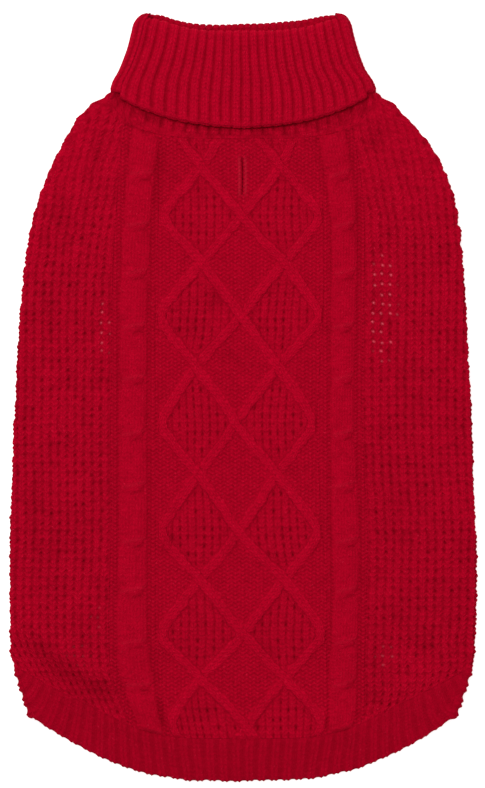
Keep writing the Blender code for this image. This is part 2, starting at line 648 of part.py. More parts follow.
def build_hem_band(material, collection):
    """A ring of ribs: upper face from the left fold to the right one, round it, back underneath, and
    round the left one. Each station is a line from the hem seam to the free edge."""
    ends = (0.0, 0.5, 1.0)  # seam, middle and free edge of the band

    def line(share, seam, edge):
        """Points across the band at a share of the way from the centre to a fold."""
        side = -1 if share < 0 else 1
        seam_x = abs(share) * hem_fold(side)
        edge_x = abs(share) * fold_limit(HEM_EDGE_TOP[-1][1], side)
        a = np.array([side * seam_x, through(seam_x, seam)])
        b = np.array([side * edge_x, through(edge_x, edge)])
        a = a + (b - a) / np.linalg.norm(b - a) * SEAM_GAP * 1.5
        return np.array([a + (b - a) * end for end in ends])

    outer = []
    outer_at = []
    inner = []
    inner_at = []
    steps = BAND_RIBS * len(RIB_WAVE)
    for k in range(steps + 1):
        across = line(2 * k / steps - 1, HEM_SEAM_TOP, HEM_EDGE_TOP)
        low = top_height(across[:, 0], across[:, 1])
        rise = BAND_RIB_RISE * RIB_WAVE[k % len(RIB_WAVE)] * np.array(BAND_RIB_ENDS)
        outer.append(np.column_stack([across, low + BAND_WALL + rise]))
        outer_at.append(k)
        if k % len(RIB_WAVE) == 0:
            inner.append(np.column_stack([across, low]))
            inner_at.append(k)
    station = steps

    def fold(side, angles, station):
        across = line(side, HEM_SEAM_TOP, HEM_EDGE_TOP)
        for n, angle in enumerate(angles):
            x, z = fold_arc(np.abs(across[:, 0]), across[:, 1], side, angle)
            outer.append(np.column_stack([x, across[:, 1], z]))
            outer_at.append(station + n + 1)

    angles = [90 - 180 * k / FOLD_STEPS for k in range(1, FOLD_STEPS)]
    fold(1, angles, station)
    station += FOLD_STEPS
    under = under_stations()
    for k, (share, side) in enumerate(under):
        limit = hem_fold(side or np.sign(share) or 1)
        across = line(station_x(share, side, limit) / limit, HEM_SEAM_UNDER, HEM_EDGE_UNDER)
        low = under_height(across[:, 0], across[:, 1])
        outer.append(np.column_stack([across, low]))
        outer_at.append(station + k)
        inner.append(np.column_stack([across, low + BAND_WALL]))
        inner_at.append(station + k)
    station += len(under) - 1
    fold(-1, angles[::-1], station)
    station += FOLD_STEPS

    points = Points()
    net_outer = points.add(np.array(outer))
    net_inner = points.add(np.array(inner))
    net_outer = np.concatenate([net_outer, net_outer[:1]])
    net_inner = np.concatenate([net_inner, net_inner[:1]])
    outer_at.append(station)
    inner_at.append(station)
    faces = grid_faces(net_outer) + grid_faces(net_inner)
    for end in (0, -1):
        faces += zip_faces(net_outer[:, end], outer_at, net_inner[:, end], inner_at)
    return make_object("hem_band", points.all(), faces, material, collection)


# ---------------------------------------------------------------- collar

# Rows of the turn-down's outer face. Columns: share of the way from free edge to fold, share of rib height
TURN_DOWN_ROWS = ((0.0, 0.55), (0.03, 1.0), (0.3, 1.0), (0.6, 1.0), (1.0, 1.0))
# Rows round the fold into the mouth. Columns: angle, share of rib height
MOUTH_ROWS = ((40, 0.9), (90, 0.7), (140, 0.35))
PLAIN_SHARES = (0.0, 0.3, 0.97)  # rows of the hidden faces, from the free edge up to the fold
STAND_RIB = 0.8                  # share of rib height where the stand shows below the turn-down
COLLAR_SHOW = 0.0012             # the stand's ribs end this far inside the free edge
SHOW_FLARE = 0.45                # and this much of the way out from the turn-down's side to the neck seam's


def collar_stations():
    """Stations round the flattened neck tube: (part, share across or fold angle, side, rib height)."""
    stations = []
    steps = COLLAR_RIBS * len(RIB_WAVE)
    for k in range(steps + 1):
        stations.append(("top", 2 * k / steps - 1, 0, RIB_WAVE[k % len(RIB_WAVE)]))
    angles = [90 - 180 * k / COLLAR_FOLD_STEPS for k in range(1, COLLAR_FOLD_STEPS)]
    for angle in angles:
        stations.append(("fold", angle, 1, 0.0))
    limit = neck_fold(1)
    for share, side in under_stations():
        stations.append(("under", station_x(share, side, limit) / limit, 0, 0.0))
    for angle in angles[::-1]:
        stations.append(("fold", angle, -1, 0.0))
    return stations


def collar_point(station, depth, y_of, rib, flare=0.0):
    """A point of the collar, depth inside its outermost face. y_of gives the row's y from x and the layer,
    and flare widens the row from the collar's side towards the neck seam's."""
    part, where, side, wave = station
    radius = COLLAR_HEIGHT / 2
    if part == "fold":
        y = y_of(side * (neck_fold(side) + FOLD_REACH * np.cos(np.radians(where))), 0)
        limit = collar_half_width(y, side) - radius
        limit += (neck_fold(side) - limit) * flare
        x = side * (limit + (radius - depth) * np.cos(np.radians(where)))
        z = radius + (radius - depth) * np.sin(np.radians(where))
        return x, y, z
    side = -1 if where < 0 else 1
    x = where * neck_fold(side)
    for _ in range(4):
        y = y_of(x, 1 if part == "top" else -1)
        limit = collar_half_width(y, side) - radius
        limit += (neck_fold(side) - limit) * flare
        x = where * limit
    if part == "top":
        return x, y, COLLAR_HEIGHT - depth + rib * wave
    return x, y, depth


def build_collar(material, collection):
    """The neck tube as rows of stations. The rows run up the turn-down's outer face, over the fold into
    the mouth, down the inside to the neck seam, back up the stand's outer face and down the turn-down's
    inner face to its free edge."""
    thickness = COLLAR_WALL + SEAM_GAP + WALL
    bend = thickness / 2
    inner_bend = SEAM_GAP / 2

    def mouth_y(x, layer):
        back = through(x, MOUTH, 1)
        throat = through(x, MOUTH, 2)
        return {1: back, -1: throat, 0: throat}[layer]

    def edge_y(x, layer):
        return through(np.abs(x), COLLAR_EDGE) if layer else COLLAR_EDGE[-1][1]

    def seam_y(x, layer):
        seam = NECK_SEAM_UNDER if layer == -1 else NECK_SEAM_TOP
        return through(np.abs(x), seam) + SEAM_GAP * 1.5

    def between(share, down=0.0):
        """A row at a share of the way from the free edge up to the start of the fold."""

        def y_of(x, layer):
            low = edge_y(x, layer)
            high = mouth_y(x, layer) - bend
            return low + (high - low) * share - down

        return y_of

    def fold_row(angle, radius):
        def y_of(x, layer):
            return mouth_y(x, layer) - bend + radius * np.sin(np.radians(angle))

        return y_of

    outer_stand = COLLAR_WALL + SEAM_GAP
    rows = []  # depth, y of the row, share of rib height, flare
    for share, rib in TURN_DOWN_ROWS:
        rows.append((0.0, between(share), rib, 0.0))
    for angle, rib in MOUTH_ROWS:
        rows.append((bend * (1 - np.cos(np.radians(angle))), fold_row(angle, bend), rib, 0.0))
    for share in PLAIN_SHARES[::-1]:
        rows.append((thickness, between(share), 0.0, 0.0))
    rows.append((thickness, seam_y, 0.0, 1.0))
    rows.append((outer_stand, seam_y, STAND_RIB, 1.0))
    rows.append((outer_stand, between(0.0, COLLAR_SHOW), STAND_RIB, SHOW_FLARE))
    for share in PLAIN_SHARES:
        rows.append((outer_stand, between(share), 0.0, 0.0))
    inner_fold = len(rows)
    rows.append((COLLAR_WALL + inner_bend, fold_row(90, inner_bend), 0.0, 0.0))
    for share in PLAIN_SHARES[::-1]:
        rows.append((COLLAR_WALL, between(share), 0.0, 0.0))

    stations = collar_stations()
    ring = np.array([
        [collar_point(station, depth, y_of, RIB_RISE * rib, flare) for depth, y_of, rib, flare in rows]
        for station in stations
    ])
    points = Points()
    net = points.add(ring)
    net = np.concatenate([net, net[:1]])
    net = np.concatenate([net, net[:, :1]], axis=1)
    # the faces on both sides of the narrow gap are split alike, so the second half of the net is reversed
    faces = grid_faces(net[:, :inner_fold + 1]) + grid_faces(net[:, :inner_fold - 1:-1])
    return make_object("collar", points.all(), faces, material, collection)


# ---------------------------------------------------------------- the sweater


def main():
    for old in list(bpy.data.objects):
        bpy.data.objects.remove(old, do_unlink=True)
    sweater = bpy.data.collections.new("dog_sweater")
    cutters = bpy.data.collections.new("cutters")
    bpy.context.scene.collection.children.link(sweater)
    bpy.context.scene.collection.children.link(cutters)
    red = (0.42, 0.002, 0.012)
    deep_red = (0.36, 0.002, 0.011)
    back = build_back_panel(make_material("cable_knit", red, 0.9), sweater)
    cut_leash_slit(back, cutters)
    build_belly_panel(make_material("plain_knit", deep_red, 0.9), sweater)
    build_collar(make_material("collar_rib", red, 0.9), sweater)
    build_hem_band(make_material("hem_rib", deep_red, 0.9), sweater)


main()
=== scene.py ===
"""Looks of a red cable-knit dog sweater, laid flat with its back upwards.

Every knitted piece is a closed shell: an outer face with its ribs, cables, travelling strands and stitches in
relief, a plain inner face, and the cut edges between them. All shapes are worked out on two-parameter grids
from the garment's own sizes. Metres, +Z up, the neck towards +Y.
"""

import bmesh
import bpy
import numpy as np
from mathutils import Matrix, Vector


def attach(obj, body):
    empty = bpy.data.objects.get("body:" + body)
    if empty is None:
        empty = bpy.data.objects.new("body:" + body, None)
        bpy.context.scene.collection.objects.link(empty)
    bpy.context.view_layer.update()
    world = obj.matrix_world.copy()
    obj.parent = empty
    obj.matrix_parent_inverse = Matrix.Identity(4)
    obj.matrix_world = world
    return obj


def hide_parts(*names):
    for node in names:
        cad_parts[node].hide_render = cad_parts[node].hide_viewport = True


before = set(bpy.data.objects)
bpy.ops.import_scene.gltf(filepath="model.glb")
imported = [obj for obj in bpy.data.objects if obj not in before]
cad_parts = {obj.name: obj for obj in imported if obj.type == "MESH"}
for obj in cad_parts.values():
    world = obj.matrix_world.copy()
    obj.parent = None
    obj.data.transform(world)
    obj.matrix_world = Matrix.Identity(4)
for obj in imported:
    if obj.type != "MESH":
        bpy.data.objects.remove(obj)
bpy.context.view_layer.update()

# ---------------------------------------------------------------- sizes, metres

WALL = 0.0026              # knitted cloth of the body and of the neck tube
COLLAR_WALL = 0.0028       # ribbed turn-down
BAND_WALL = 0.0026         # ribbed hem band
SEAM_GAP = 0.0003          # clearance between the collar's layers
LAYER_GAP = 0.0008         # clearance between the cloth layers that lie on each other
NECK_HOLLOW = 0.0014       # flattened hollow inside the neck tube
RIB_RISE = 0.0013          # how far the collar's ribs, the hem's ribs, the ropes and the strands stand out
BAND_RIB_RISE = 0.0011
CABLE_RISE = 0.0022
STRAND_RISE = 0.0012
LIFT_RUN = 0.030           # the layers climb to the folded collar over this distance
DROP_RUN = 0.030           # the top layer drops to the ground over this one
DROP_DELAY = 0.004         # and starts to do so this far behind the belly's hem
BELLY_HALF = 0.066         # half the belly panel's width
LEG_CENTRE_Y = 0.1023      # leg openings: half ellipses bitten out of the belly and of the flaps
LEG_HALF_WIDTH = 0.0252
LEG_HALF_LENGTH = 0.0378
SLIT_X = -0.0002           # middle and length of the leash slit
SLIT_Y = 0.1332
SLIT_LENGTH = 0.0216
FOLD_REACH = 0.0030        # how far past a side fold's axis the seam lines are followed round it
STAND_LIFT = COLLAR_WALL + SEAM_GAP
COLLAR_DEPTH = STAND_LIFT + WALL       # turn-down, gap and neck tube
COLLAR_HEIGHT = 2 * COLLAR_DEPTH + NECK_HOLLOW
NECK_TOP_LIFT = STAND_LIFT + NECK_HOLLOW - LAYER_GAP

# Side silhouette of the body. Columns: y, left half-width, right half-width
OUTLINE = (
    (-0.1893, 0.1284, 0.1280),
    (-0.1809, 0.1318, 0.1336),
    (-0.1725, 0.1344, 0.1362),
    (-0.1569, 0.1388, 0.1388),
    (-0.1329, 0.1401, 0.1399),
    (-0.0969, 0.1404, 0.1404),
    (-0.0489, 0.1391, 0.1388),
    (-0.0009, 0.1368, 0.1371),
    (0.0411, 0.1349, 0.1345),
    (0.0831, 0.1308, 0.1323),
    (0.1071, 0.1265, 0.1295),
    (0.1311, 0.1192, 0.1238),
    (0.1551, 0.1076, 0.1108),
    (0.1683, 0.0993, 0.0990),
    (0.1755, 0.0919, 0.0910),
    (0.1806, 0.0834, 0.0834),
)

# Seams and free edges, alike on both sides. Columns: distance from the centre line, y
NECK_SEAM_TOP = (
    (0.0000, 0.1557), (0.0408, 0.1566), (0.0558, 0.1593), (0.0708, 0.1665), (0.0800, 0.1775),
    (0.0834, 0.1806),
)
NECK_SEAM_UNDER = (
    (0.0000, 0.1590), (0.0408, 0.1600), (0.0558, 0.1624), (0.0708, 0.1688), (0.0800, 0.1775),
    (0.0834, 0.1806),
)
HEM_SEAM_TOP = (
    (0.0000, -0.2046), (0.0504, -0.2016), (0.0678, -0.1965), (0.0834, -0.1890), (0.0942, -0.1833),
    (0.1116, -0.1746), (0.1182, -0.1711), (0.1354, -0.1620), (0.1387, -0.1608),
)
HEM_SEAM_UNDER = (
    (0.0000, -0.0969), (0.0400, -0.1000), (0.0750, -0.1110), (0.1050, -0.1350), (0.1354, -0.1620),
    (0.1387, -0.1608),
)
HEM_EDGE_TOP = (
    (0.0000, -0.2304), (0.0318, -0.2292), (0.0588, -0.2250), (0.0768, -0.2190), (0.0948, -0.2110),
    (0.1128, -0.2007), (0.1218, -0.1945), (0.1284, -0.1893),
)
HEM_EDGE_UNDER = (
    (0.0000, -0.1227), (0.0400, -0.1290), (0.0750, -0.1479), (0.1050, -0.1700), (0.1284, -0.1893),
)
COLLAR_EDGE = (
    (0.0000, 0.1623), (0.0200, 0.1638), (0.0456, 0.1686), (0.0630, 0.1749), (0.0735, 0.1800),
    (0.0800, 0.1836),
)

# Mouth of the collar: where its fold lies. Columns: x, y of the back's fold, y of the throat's fold
MOUTH = (
    (-0.0612, 0.2286, 0.2304),
    (-0.0500, 0.2262, 0.2298),
    (-0.0408, 0.2232, 0.2271),
    (-0.0300, 0.2208, 0.2247),
    (0.0000, 0.2196, 0.2244),
    (0.0300, 0.2208, 0.2262),
    (0.0408, 0.2226, 0.2277),
    (0.0500, 0.2256, 0.2295),
    (0.0612, 0.2286, 0.2304),
)

# Side silhouette of the collar. Columns: y, left half-width, right half-width
COLLAR_SIDE = (
    (0.1500, 0.0796, 0.0800),
    (0.1827, 0.0795, 0.0800),
    (0.1899, 0.0776, 0.0774),
    (0.1971, 0.0737, 0.0727),
    (0.2043, 0.0708, 0.0698),
    (0.2115, 0.0684, 0.0675),
    (0.2187, 0.0666, 0.0655),
    (0.2259, 0.0646, 0.0638),
    (0.2304, 0.0612, 0.0612),
)

# Knit columns of the back. One line for each half repeat of the diamonds: row number, y, then x of the
# left cable's outer and inner edge, the diamonds' left corner, left crossing, centre, right crossing and
# right corner, and the right cable's inner and outer edge
WALES = (
    (11.2, -0.2046, -0.0624, -0.0466, -0.0406, -0.0210, 0.0030, 0.0252, 0.0462, 0.0504, 0.0666),
    (11.0, -0.1977, -0.0648, -0.0484, -0.0424, -0.0222, 0.0024, 0.0252, 0.0472, 0.0512, 0.0678),
    (10.0, -0.1683, -0.0744, -0.0540, -0.0472, -0.0256, 0.0012, 0.0251, 0.0474, 0.0512, 0.0684),
    (9.0, -0.1413, -0.0762, -0.0570, -0.0488, -0.0246, 0.0004, 0.0234, 0.0470, 0.0528, 0.0693),
    (8.0, -0.1089, -0.0756, -0.0573, -0.0488, -0.0256, -0.0009, 0.0252, 0.0468, 0.0540, 0.0699),
    (7.0, -0.0795, -0.0747, -0.0573, -0.0488, -0.0258, -0.0022, 0.0210, 0.0444, 0.0528, 0.0702),
    (6.0, -0.0455, -0.0748, -0.0570, -0.0486, -0.0269, -0.0033, 0.0204, 0.0426, 0.0524, 0.0684),
    (5.0, -0.0147, -0.0750, -0.0579, -0.0486, -0.0264, -0.0042, 0.0186, 0.0414, 0.0519, 0.0672),
    (4.0, 0.0189, -0.0744, -0.0573, -0.0492, -0.0285, -0.0030, 0.0212, 0.0432, 0.0522, 0.0672),
    (3.0, 0.0495, -0.0744, -0.0570, -0.0492, -0.0252, -0.0010, 0.0222, 0.0452, 0.0522, 0.0678),
    (2.0, 0.0816, -0.0735, -0.0558, -0.0483, -0.0244, -0.0010, 0.0248, 0.0456, 0.0528, 0.0687),
    (1.0, 0.1092, -0.0717, -0.0546, -0.0472, -0.0240, -0.0010, 0.0222, 0.0452, 0.0522, 0.0684),
    (0.0, 0.1392, -0.0690, -0.0519, -0.0468, -0.0250, -0.0010, 0.0231, 0.0414, 0.0480, 0.0648),
    (-0.5, 0.1557, -0.0660, -0.0492, -0.0450, -0.0258, -0.0018, 0.0192, 0.0366, 0.0450, 0.0612),
)
CABLE_L_OUT, CABLE_L_IN, DIAMOND_L, CENTRE_WALE, DIAMOND_R, CABLE_R_IN, CABLE_R_OUT = 2, 3, 4, 6, 8, 9, 10
FIRST_ROW = -0.5
LAST_ROW = 11.2
HALF_REPEAT = (0.0240, 0.0307)
CABLE_CROSSING = 0.26      # the ropes cross this far below every whole row
FURROW = 0.0042            # purl ground between a rope and the flank
CORNER_ROUND = 0.20        # radius of the diamonds' outer corners, in half repeats
CORNER_END = 2.125         # strands are rounded off here, inside the strip's own margins

# A column's ends are shifted to meet the seams. How fast this fades from the neck and from the hem
FADE_CENTRE = (12.0, 8.0)
FADE_FOLD = (6.0, 4.0)
FADE_FLAP = (5.0, 2.4)

# ---------------------------------------------------------------- stitch sizes, metres

COURSE = 0.0025            # height of one row of plain stitches
WALE = 0.0030              # width of one plain stitch
PURL = (0.0045, 0.0024)    # one wave of the purl side: width and height
WAFFLE = (0.0050, 0.0057)  # spacing of the flanks' holes, across and along
FILL = (0.0049, 0.0052)    # the diamonds' filling: width of a column, and length of one of its knots
HOLE = 0.0011              # depth of a hole
WAFFLE_RIDGE = 0.00034     # ridges between the holes
PURL_RISE = 0.00052
PURL_RIPPLE = 0.30         # how far a purl course waves up and down, in courses
GROUND_DROP = 0.0003       # the purl ground lies this much below the mean face
STITCH_RISE = 0.00014      # legs of the plain stitches
STRAND_HALF = 0.0046       # half the width of a strand
SEAM_BEAD = 0.00045        # beads of the row that is caught in a seam
ROW_COUNT = 560            # grid rows from neck seam to hem seam
INSIDE_STEP = 8            # the plain inside uses every eighth of them

# Soft troughs and ridges of the laid cloth, on its upper face. Columns: x, y, direction in degrees,
# half-length, half-width, rise, and painted shade (negative for painted light on a ridge)
CREASES = (
    (-0.1026, -0.1647, -34, 0.0290, 0.0055, -0.0014, 0.24),
    (-0.1242, -0.0699, -88, 0.0280, 0.0036, -0.0008, 0.16),
    (-0.0490, -0.1890, -79, 0.0080, 0.0017, -0.0010, 0.18),
    (-0.0870, 0.1440, 73, 0.0230, 0.0040, -0.0009, 0.16),
    (-0.0498, 0.1311, 88, 0.0180, 0.0032, -0.0007, 0.15),
    (0.0810, 0.1560, 40, 0.0080, 0.0050, -0.0009, 0.18),
    (-0.1116, 0.1101, 84, 0.0120, 0.0040, -0.0006, 0.14),
    (-0.1158, 0.0483, 88, 0.0120, 0.0040, -0.0006, 0.12),
    (0.1110, -0.1641, 30, 0.0220, 0.0060, 0.0009, -0.10),
    (-0.1306, -0.1310, 88, 0.0250, 0.0040, 0.0006, -0.06),
    (0.0690, 0.1026, 90, 0.0140, 0.0026, -0.0006, 0.08),
    (0.0852, -0.0189, 60, 0.0090, 0.0070, -0.0006, 0.10),
    (0.0912, -0.0699, 100, 0.0110, 0.0060, -0.0006, 0.09),
    (-0.0168, 0.0585, 30, 0.0060, 0.0050, -0.0006, 0.22),
    (-0.0330, 0.0440, 60, 0.0080, 0.0070, -0.0003, 0.12),
    (-0.0080, 0.0240, 0, 0.0060, 0.0060, -0.0004, 0.12),
    (-0.0432, -0.0870, 60, 0.0080, 0.0040, -0.0004, 0.16),
    (-0.0258, -0.1869, 0, 0.0090, 0.0060, -0.0003, 0.12),
)

# Shallow troughs of the face that lies on the floor, in the same columns
UNDER_CREASES = (
    (-0.0960, 0.0360, 84, 0.0300, 0.0050, -0.0006, 0.12),
    (0.1000, -0.0210, 97, 0.0240, 0.0060, -0.0007, 0.12),
    (-0.0890, -0.0560, 70, 0.0180, 0.0040, -0.0005, 0.10),
    (0.0910, 0.0590, 60, 0.0120, 0.0040, -0.0005, 0.10),
    (0.0240, 0.0420, 25, 0.0170, 0.0050, -0.0005, 0.10),
    (-0.0130, -0.0420, -15, 0.0200, 0.0060, -0.0006, 0.10),
)

# Places where light comes through the flanks' open holes. Columns: x, y, half-width, half-length, strength
OPEN_KNIT = (
    (-0.0826, 0.0411, 0.0032, 0.0200, 0.8),
    (0.0842, 0.0546, 0.0085, 0.0330, 1.0),
    (-0.0890, -0.1320, 0.0050, 0.0110, 0.20),
    (-0.0985, -0.1535, 0.0075, 0.0070, 0.16),
    (0.0860, -0.1590, 0.0070, 0.0110, 0.45),
)

# ---------------------------------------------------------------- numbers


def through(x, points, column=1):
    """Smooth curve through a table's points: cubic pieces whose slopes are those of the neighbours."""
    table = np.array(sorted(points))
    xs = table[:, 0]
    ys = table[:, column]
    slopes = np.gradient(ys, xs)
    x = np.clip(x, xs[0], xs[-1])
    low = np.clip(np.searchsorted(xs, x) - 1, 0, len(xs) - 2)
    width = xs[low + 1] - xs[low]
    t = (x - xs[low]) / width
    start = (1 + 2 * t) * (1 - t) ** 2 * ys[low] + t * (1 - t) ** 2 * width * slopes[low]
    end = t * t * (3 - 2 * t) * ys[low + 1] - t * t * (1 - t) * width * slopes[low + 1]
    return start + end


def ease(t):
    """0 below 0, 1 above 1, and a smooth step between."""
    t = np.clip(t, 0.0, 1.0)
    return t * t * (3 - 2 * t)


def bell(t):
    """1 at 0, falling away on both sides as exp(-t^2)."""
    return np.exp(-t * t)


def wave(t):
    """0 at whole numbers, 1 halfway between, as a cosine."""
    return 0.5 - 0.5 * np.cos(2 * np.pi * t)


def off_whole(t):
    """Signed distance to the nearest whole number."""
    return t - np.round(t)


def dice(i, j, seed):
    """A fixed random number from 0 to 1 for each whole-number cell (i, j)."""
    table = np.random.default_rng(seed).random((128, 128))
    return table[np.asarray(i).astype(int) % 128, np.asarray(j).astype(int) % 128]


def drift(u, v, seed):
    """Smooth random values from -1 to 1 that change over a distance of about 1 in u and v."""
    i = np.floor(u)
    j = np.floor(v)
    s = ease(u - i)
    t = ease(v - j)
    low = dice(i, j, seed) * (1 - s) + dice(i + 1, j, seed) * s
    high = dice(i, j + 1, seed) * (1 - s) + dice(i + 1, j + 1, seed) * s
    return 2 * (low * (1 - t) + high * t) - 1


# ---------------------------------------------------------------- form of the laid garment


def half_width(y, side, table):
    """The left or the right half-width that a side silhouette has at y."""
    return np.where(side < 0, through(y, table, 1), through(y, table, 2))


def belly_half_width(y):
    """Half the belly panel: straight seams, with half an ellipse bitten out for each leg."""
    inside = np.clip(1 - ((y - LEG_CENTRE_Y) / LEG_HALF_LENGTH) ** 2, 0, 1)
    return BELLY_HALF - LEG_HALF_WIDTH * np.sqrt(inside)


def flap_edge(y):
    """The back panel's edge on the underside, opposite belly_half_width."""
    return 2 * BELLY_HALF - belly_half_width(y)


def under_height(x, y):
    """Lower face of the underside layer: on the ground, and raised where it meets the folded collar."""
    rise = 1 - ease((through(np.abs(x), NECK_SEAM_UNDER) - y) / LIFT_RUN)
    return STAND_LIFT * rise


def top_height(x, y):
    """Lower face of the top layer: over the underside layer, and on the ground behind the belly's hem."""
    rise = 1 - ease((through(np.abs(x), NECK_SEAM_TOP) - y) / LIFT_RUN)
    drop = ease((through(np.abs(x), HEM_EDGE_UNDER) - DROP_DELAY - y) / DROP_RUN)
    return NECK_TOP_LIFT * rise + (WALL + LAYER_GAP) * (1 - drop)


def fold_radius(x, y):
    """Radius of the outer face of a side fold: half the height of both layers."""
    return (top_height(x, y) + WALL - under_height(x, y)) / 2


def fold_limit(y, side):
    """Where the flat layers end: the outline less the fold's radius."""
    x = half_width(y, side, OUTLINE)
    return x - fold_radius(x, y)


def neck_fold(side):
    """Distance from the centre line to the side fold's axis at the neck seam."""
    return fold_limit(NECK_SEAM_TOP[-1][1], side)


def hem_fold(side):
    """Distance from the centre line to the side fold's axis at the hem seam."""
    return fold_limit(HEM_SEAM_TOP[-1][1], side)


def creases(x, y, table):
    """Rise and painted shade of a laid face: each crease fades as exp(-a^4 - b^2), where a and b are the
    distances along and across it as shares of its half-length and half-width."""
    rise = 0 * (x + y)
    shade = 0 * rise
    for centre_x, centre_y, direction, half_length, half_width, height, dark in table:
        turn = np.radians(direction)
        along = ((x - centre_x) * np.cos(turn) + (y - centre_y) * np.sin(turn)) / half_length
        across = ((y - centre_y) * np.cos(turn) - (x - centre_x) * np.sin(turn)) / half_width
        form = np.exp(-along ** 4 - (across + 0.3 * np.sin(3 * along + centre_x * 900)) ** 2)
        rise = rise + height * form
        shade = shade + dark * form
    return rise, shade


def open_knit(x, y):
    """How much light comes through the open holes: their strength in the middle of each place, 0 outside."""
    found = 0 * (x + y)
    for centre_x, centre_y, half_width, half_length, strength in OPEN_KNIT:
        reach = np.hypot((x - centre_x) / half_width, (y - centre_y) / half_length)
        found = np.maximum(found, strength * ease((1.2 - reach) / 0.4))
    return found


# ---------------------------------------------------------------- making meshes


def grid_triangles(net, heights):
    """Two triangles for each quad of a net of vertex numbers, split along the diagonal whose ends are nearer
    in height, so that ridges stay unbroken."""
    a, b, c, d = net[:-1, :-1], net[:-1, 1:], net[1:, 1:], net[1:, :-1]
    ha, hb, hc, hd = heights[:-1, :-1], heights[:-1, 1:], heights[1:, 1:], heights[1:, :-1]
    split = (np.abs(hb - hd) < np.abs(ha - hc))[..., None]
    first = np.where(split, np.stack([a, b, d], -1), np.stack([a, b, c], -1))
    second = np.where(split, np.stack([b, c, d], -1), np.stack([a, c, d], -1))
    return np.concatenate([first.reshape(-1, 3), second.reshape(-1, 3)])


def zip_triangles(first, first_at, second, second_at):
    """Triangles between two rows of vertices that run side by side at growing positions: each step of one
    row is joined to the vertex of the other row that is nearest to the step's middle."""
    first, second = np.asarray(first), np.asarray(second)
    first_at, second_at = np.asarray(first_at, float), np.asarray(second_at, float)
    first_mid = (first_at[1:] + first_at[:-1]) / 2
    second_mid = (second_at[1:] + second_at[:-1]) / 2
    to_second = np.searchsorted(second_mid, first_mid, side="right")
    to_first = np.searchsorted(first_mid, second_mid, side="left")
    one = np.stack([first[:-1], first[1:], second[to_second]], -1)
    two = np.stack([first[to_first], second[1:], second[:-1]], -1)
    return np.concatenate([one, two])


def thinned(count, step):
    """Every step-th number up to count, and count itself."""
    return np.unique(np.append(np.arange(0, count, step), count))


def ring(net):
    """A net with its first row and its first column repeated at its ends, so that it closes both ways."""
    return np.pad(net, ((0, 1), (0, 1)), mode="wrap")


def round_flat(top, under, fold):
    """Stations round a flattened ring, from the left fold over the top: share of its half-width, and angle
    turned about the side folds. fold holds the shares of the turn at which a fold has stations."""
    where = np.concatenate([top, np.ones(len(fold)), under, -np.ones(len(fold))])
    turned = np.pi * np.concatenate([np.zeros(len(top)), fold, np.ones(len(under)), fold[::-1]])
    return where, turned[:, None]


class Shell:
    """Collects the vertices, triangles and knit values of one piece of cloth."""

    VALUES = ("stitch", "purl", "tone")

    def __init__(self, name):
        self.name = name
        self.points = []
        self.values = {key: [] for key in self.VALUES}
        self.faces = []
        self.walls = []
        self.count = 0

    def add(self, points, values=None):
        """Adds a net of points (..., 3) with its knit values, and returns the vertex numbers."""
        shape = points.shape[:-1]
        values = values or {}
        for key in self.VALUES:
            value = values.get(key, np.zeros(3))
            self.values[key].append(np.broadcast_to(value, (*shape, 3)).reshape(-1, 3))
        self.points.append(points.reshape(-1, 3))
        numbers = np.arange(self.count, self.count + int(np.prod(shape))).reshape(shape)
        self.count += numbers.size
        return numbers

    def join(self, triangles, wall=False):
        """Adds triangles. The narrow walls of cut edges are shaded flat, so that seams don't show."""
        triangles = np.asarray(triangles).reshape(-1, 3)
        self.faces.append(triangles)
        self.walls.append(np.full(len(triangles), wall))

    def make(self, material):
        """The finished mesh object, with its faces turned outwards."""
        points = np.concatenate(self.points).astype(np.float32)
        faces = np.concatenate(self.faces).astype(np.int32)
        mesh = bpy.data.meshes.new(self.name)
        mesh.vertices.add(len(points))
        mesh.vertices.foreach_set("co", points.ravel())
        mesh.loops.add(faces.size)
        mesh.loops.foreach_set("vertex_index", faces.ravel())
        mesh.polygons.add(len(faces))
        mesh.polygons.foreach_set("loop_start", np.arange(0, faces.size, 3, dtype=np.int32))
        mesh.update(calc_edges=True)
        shell = bmesh.new()
        shell.from_mesh(mesh)
        bmesh.ops.recalc_face_normals(shell, faces=shell.faces)
        shell.to_mesh(mesh)
        shell.free()
        for key in self.VALUES:
            attribute = mesh.attributes.new(key, "FLOAT_VECTOR", "POINT")
            attribute.data.foreach_set("vector", np.concatenate(self.values[key]).astype(np.float32).ravel())
        mesh.shade_smooth()
        mesh.polygons.foreach_set("use_smooth", ~np.concatenate(self.walls))
        mesh.materials.append(material)
        obj = bpy.data.objects.new(self.name, mesh)
        bpy.context.scene.collection.objects.link(obj)
        return obj


def knit_values(stitch=(0, 0, 0), purl=(0, 0, 0), depth=0.0, painted_light=0.0):
    """The values that the yarn material reads. stitch and purl are each (across, along, share of it); the
    last two are painted shade and painted light.
    """
    def packed(parts):
        return np.stack(np.broadcast_arrays(*[np.asarray(p, float) for p in parts]), -1)

    return {"stitch": packed(stitch), "purl": packed(purl), "tone": packed((depth, painted_light, 0.0))}


# ---------------------------------------------------------------- knitted relief, metres


def purl_ground(x, y):
    """The purl side of plain knitting: its relief, the painted shade in its gaps, and its place in the
    pattern. Each course is a wavy ridge that shows as dashes on its crests, and as weaker ones in its
    troughs, half a row lower."""
    u = x / PURL[0]
    v = y / PURL[1]
    ripple = np.cos(2 * np.pi * u)
    phase = v + PURL_RIPPLE * ripple
    uneven = 0.65 + 0.7 * dice(np.round(2 * u), np.floor(phase), 21)
    level = ripple ** 2 * (0.8 + 0.2 * ripple) * uneven
    relief = PURL_RISE * (wave(phase) * (0.30 + 0.70 * level) - 0.30)
    gaps = 0.20 * np.clip(0.15 - relief / PURL_RISE, 0, 1)
    return relief - GROUND_DROP, gaps, u, v


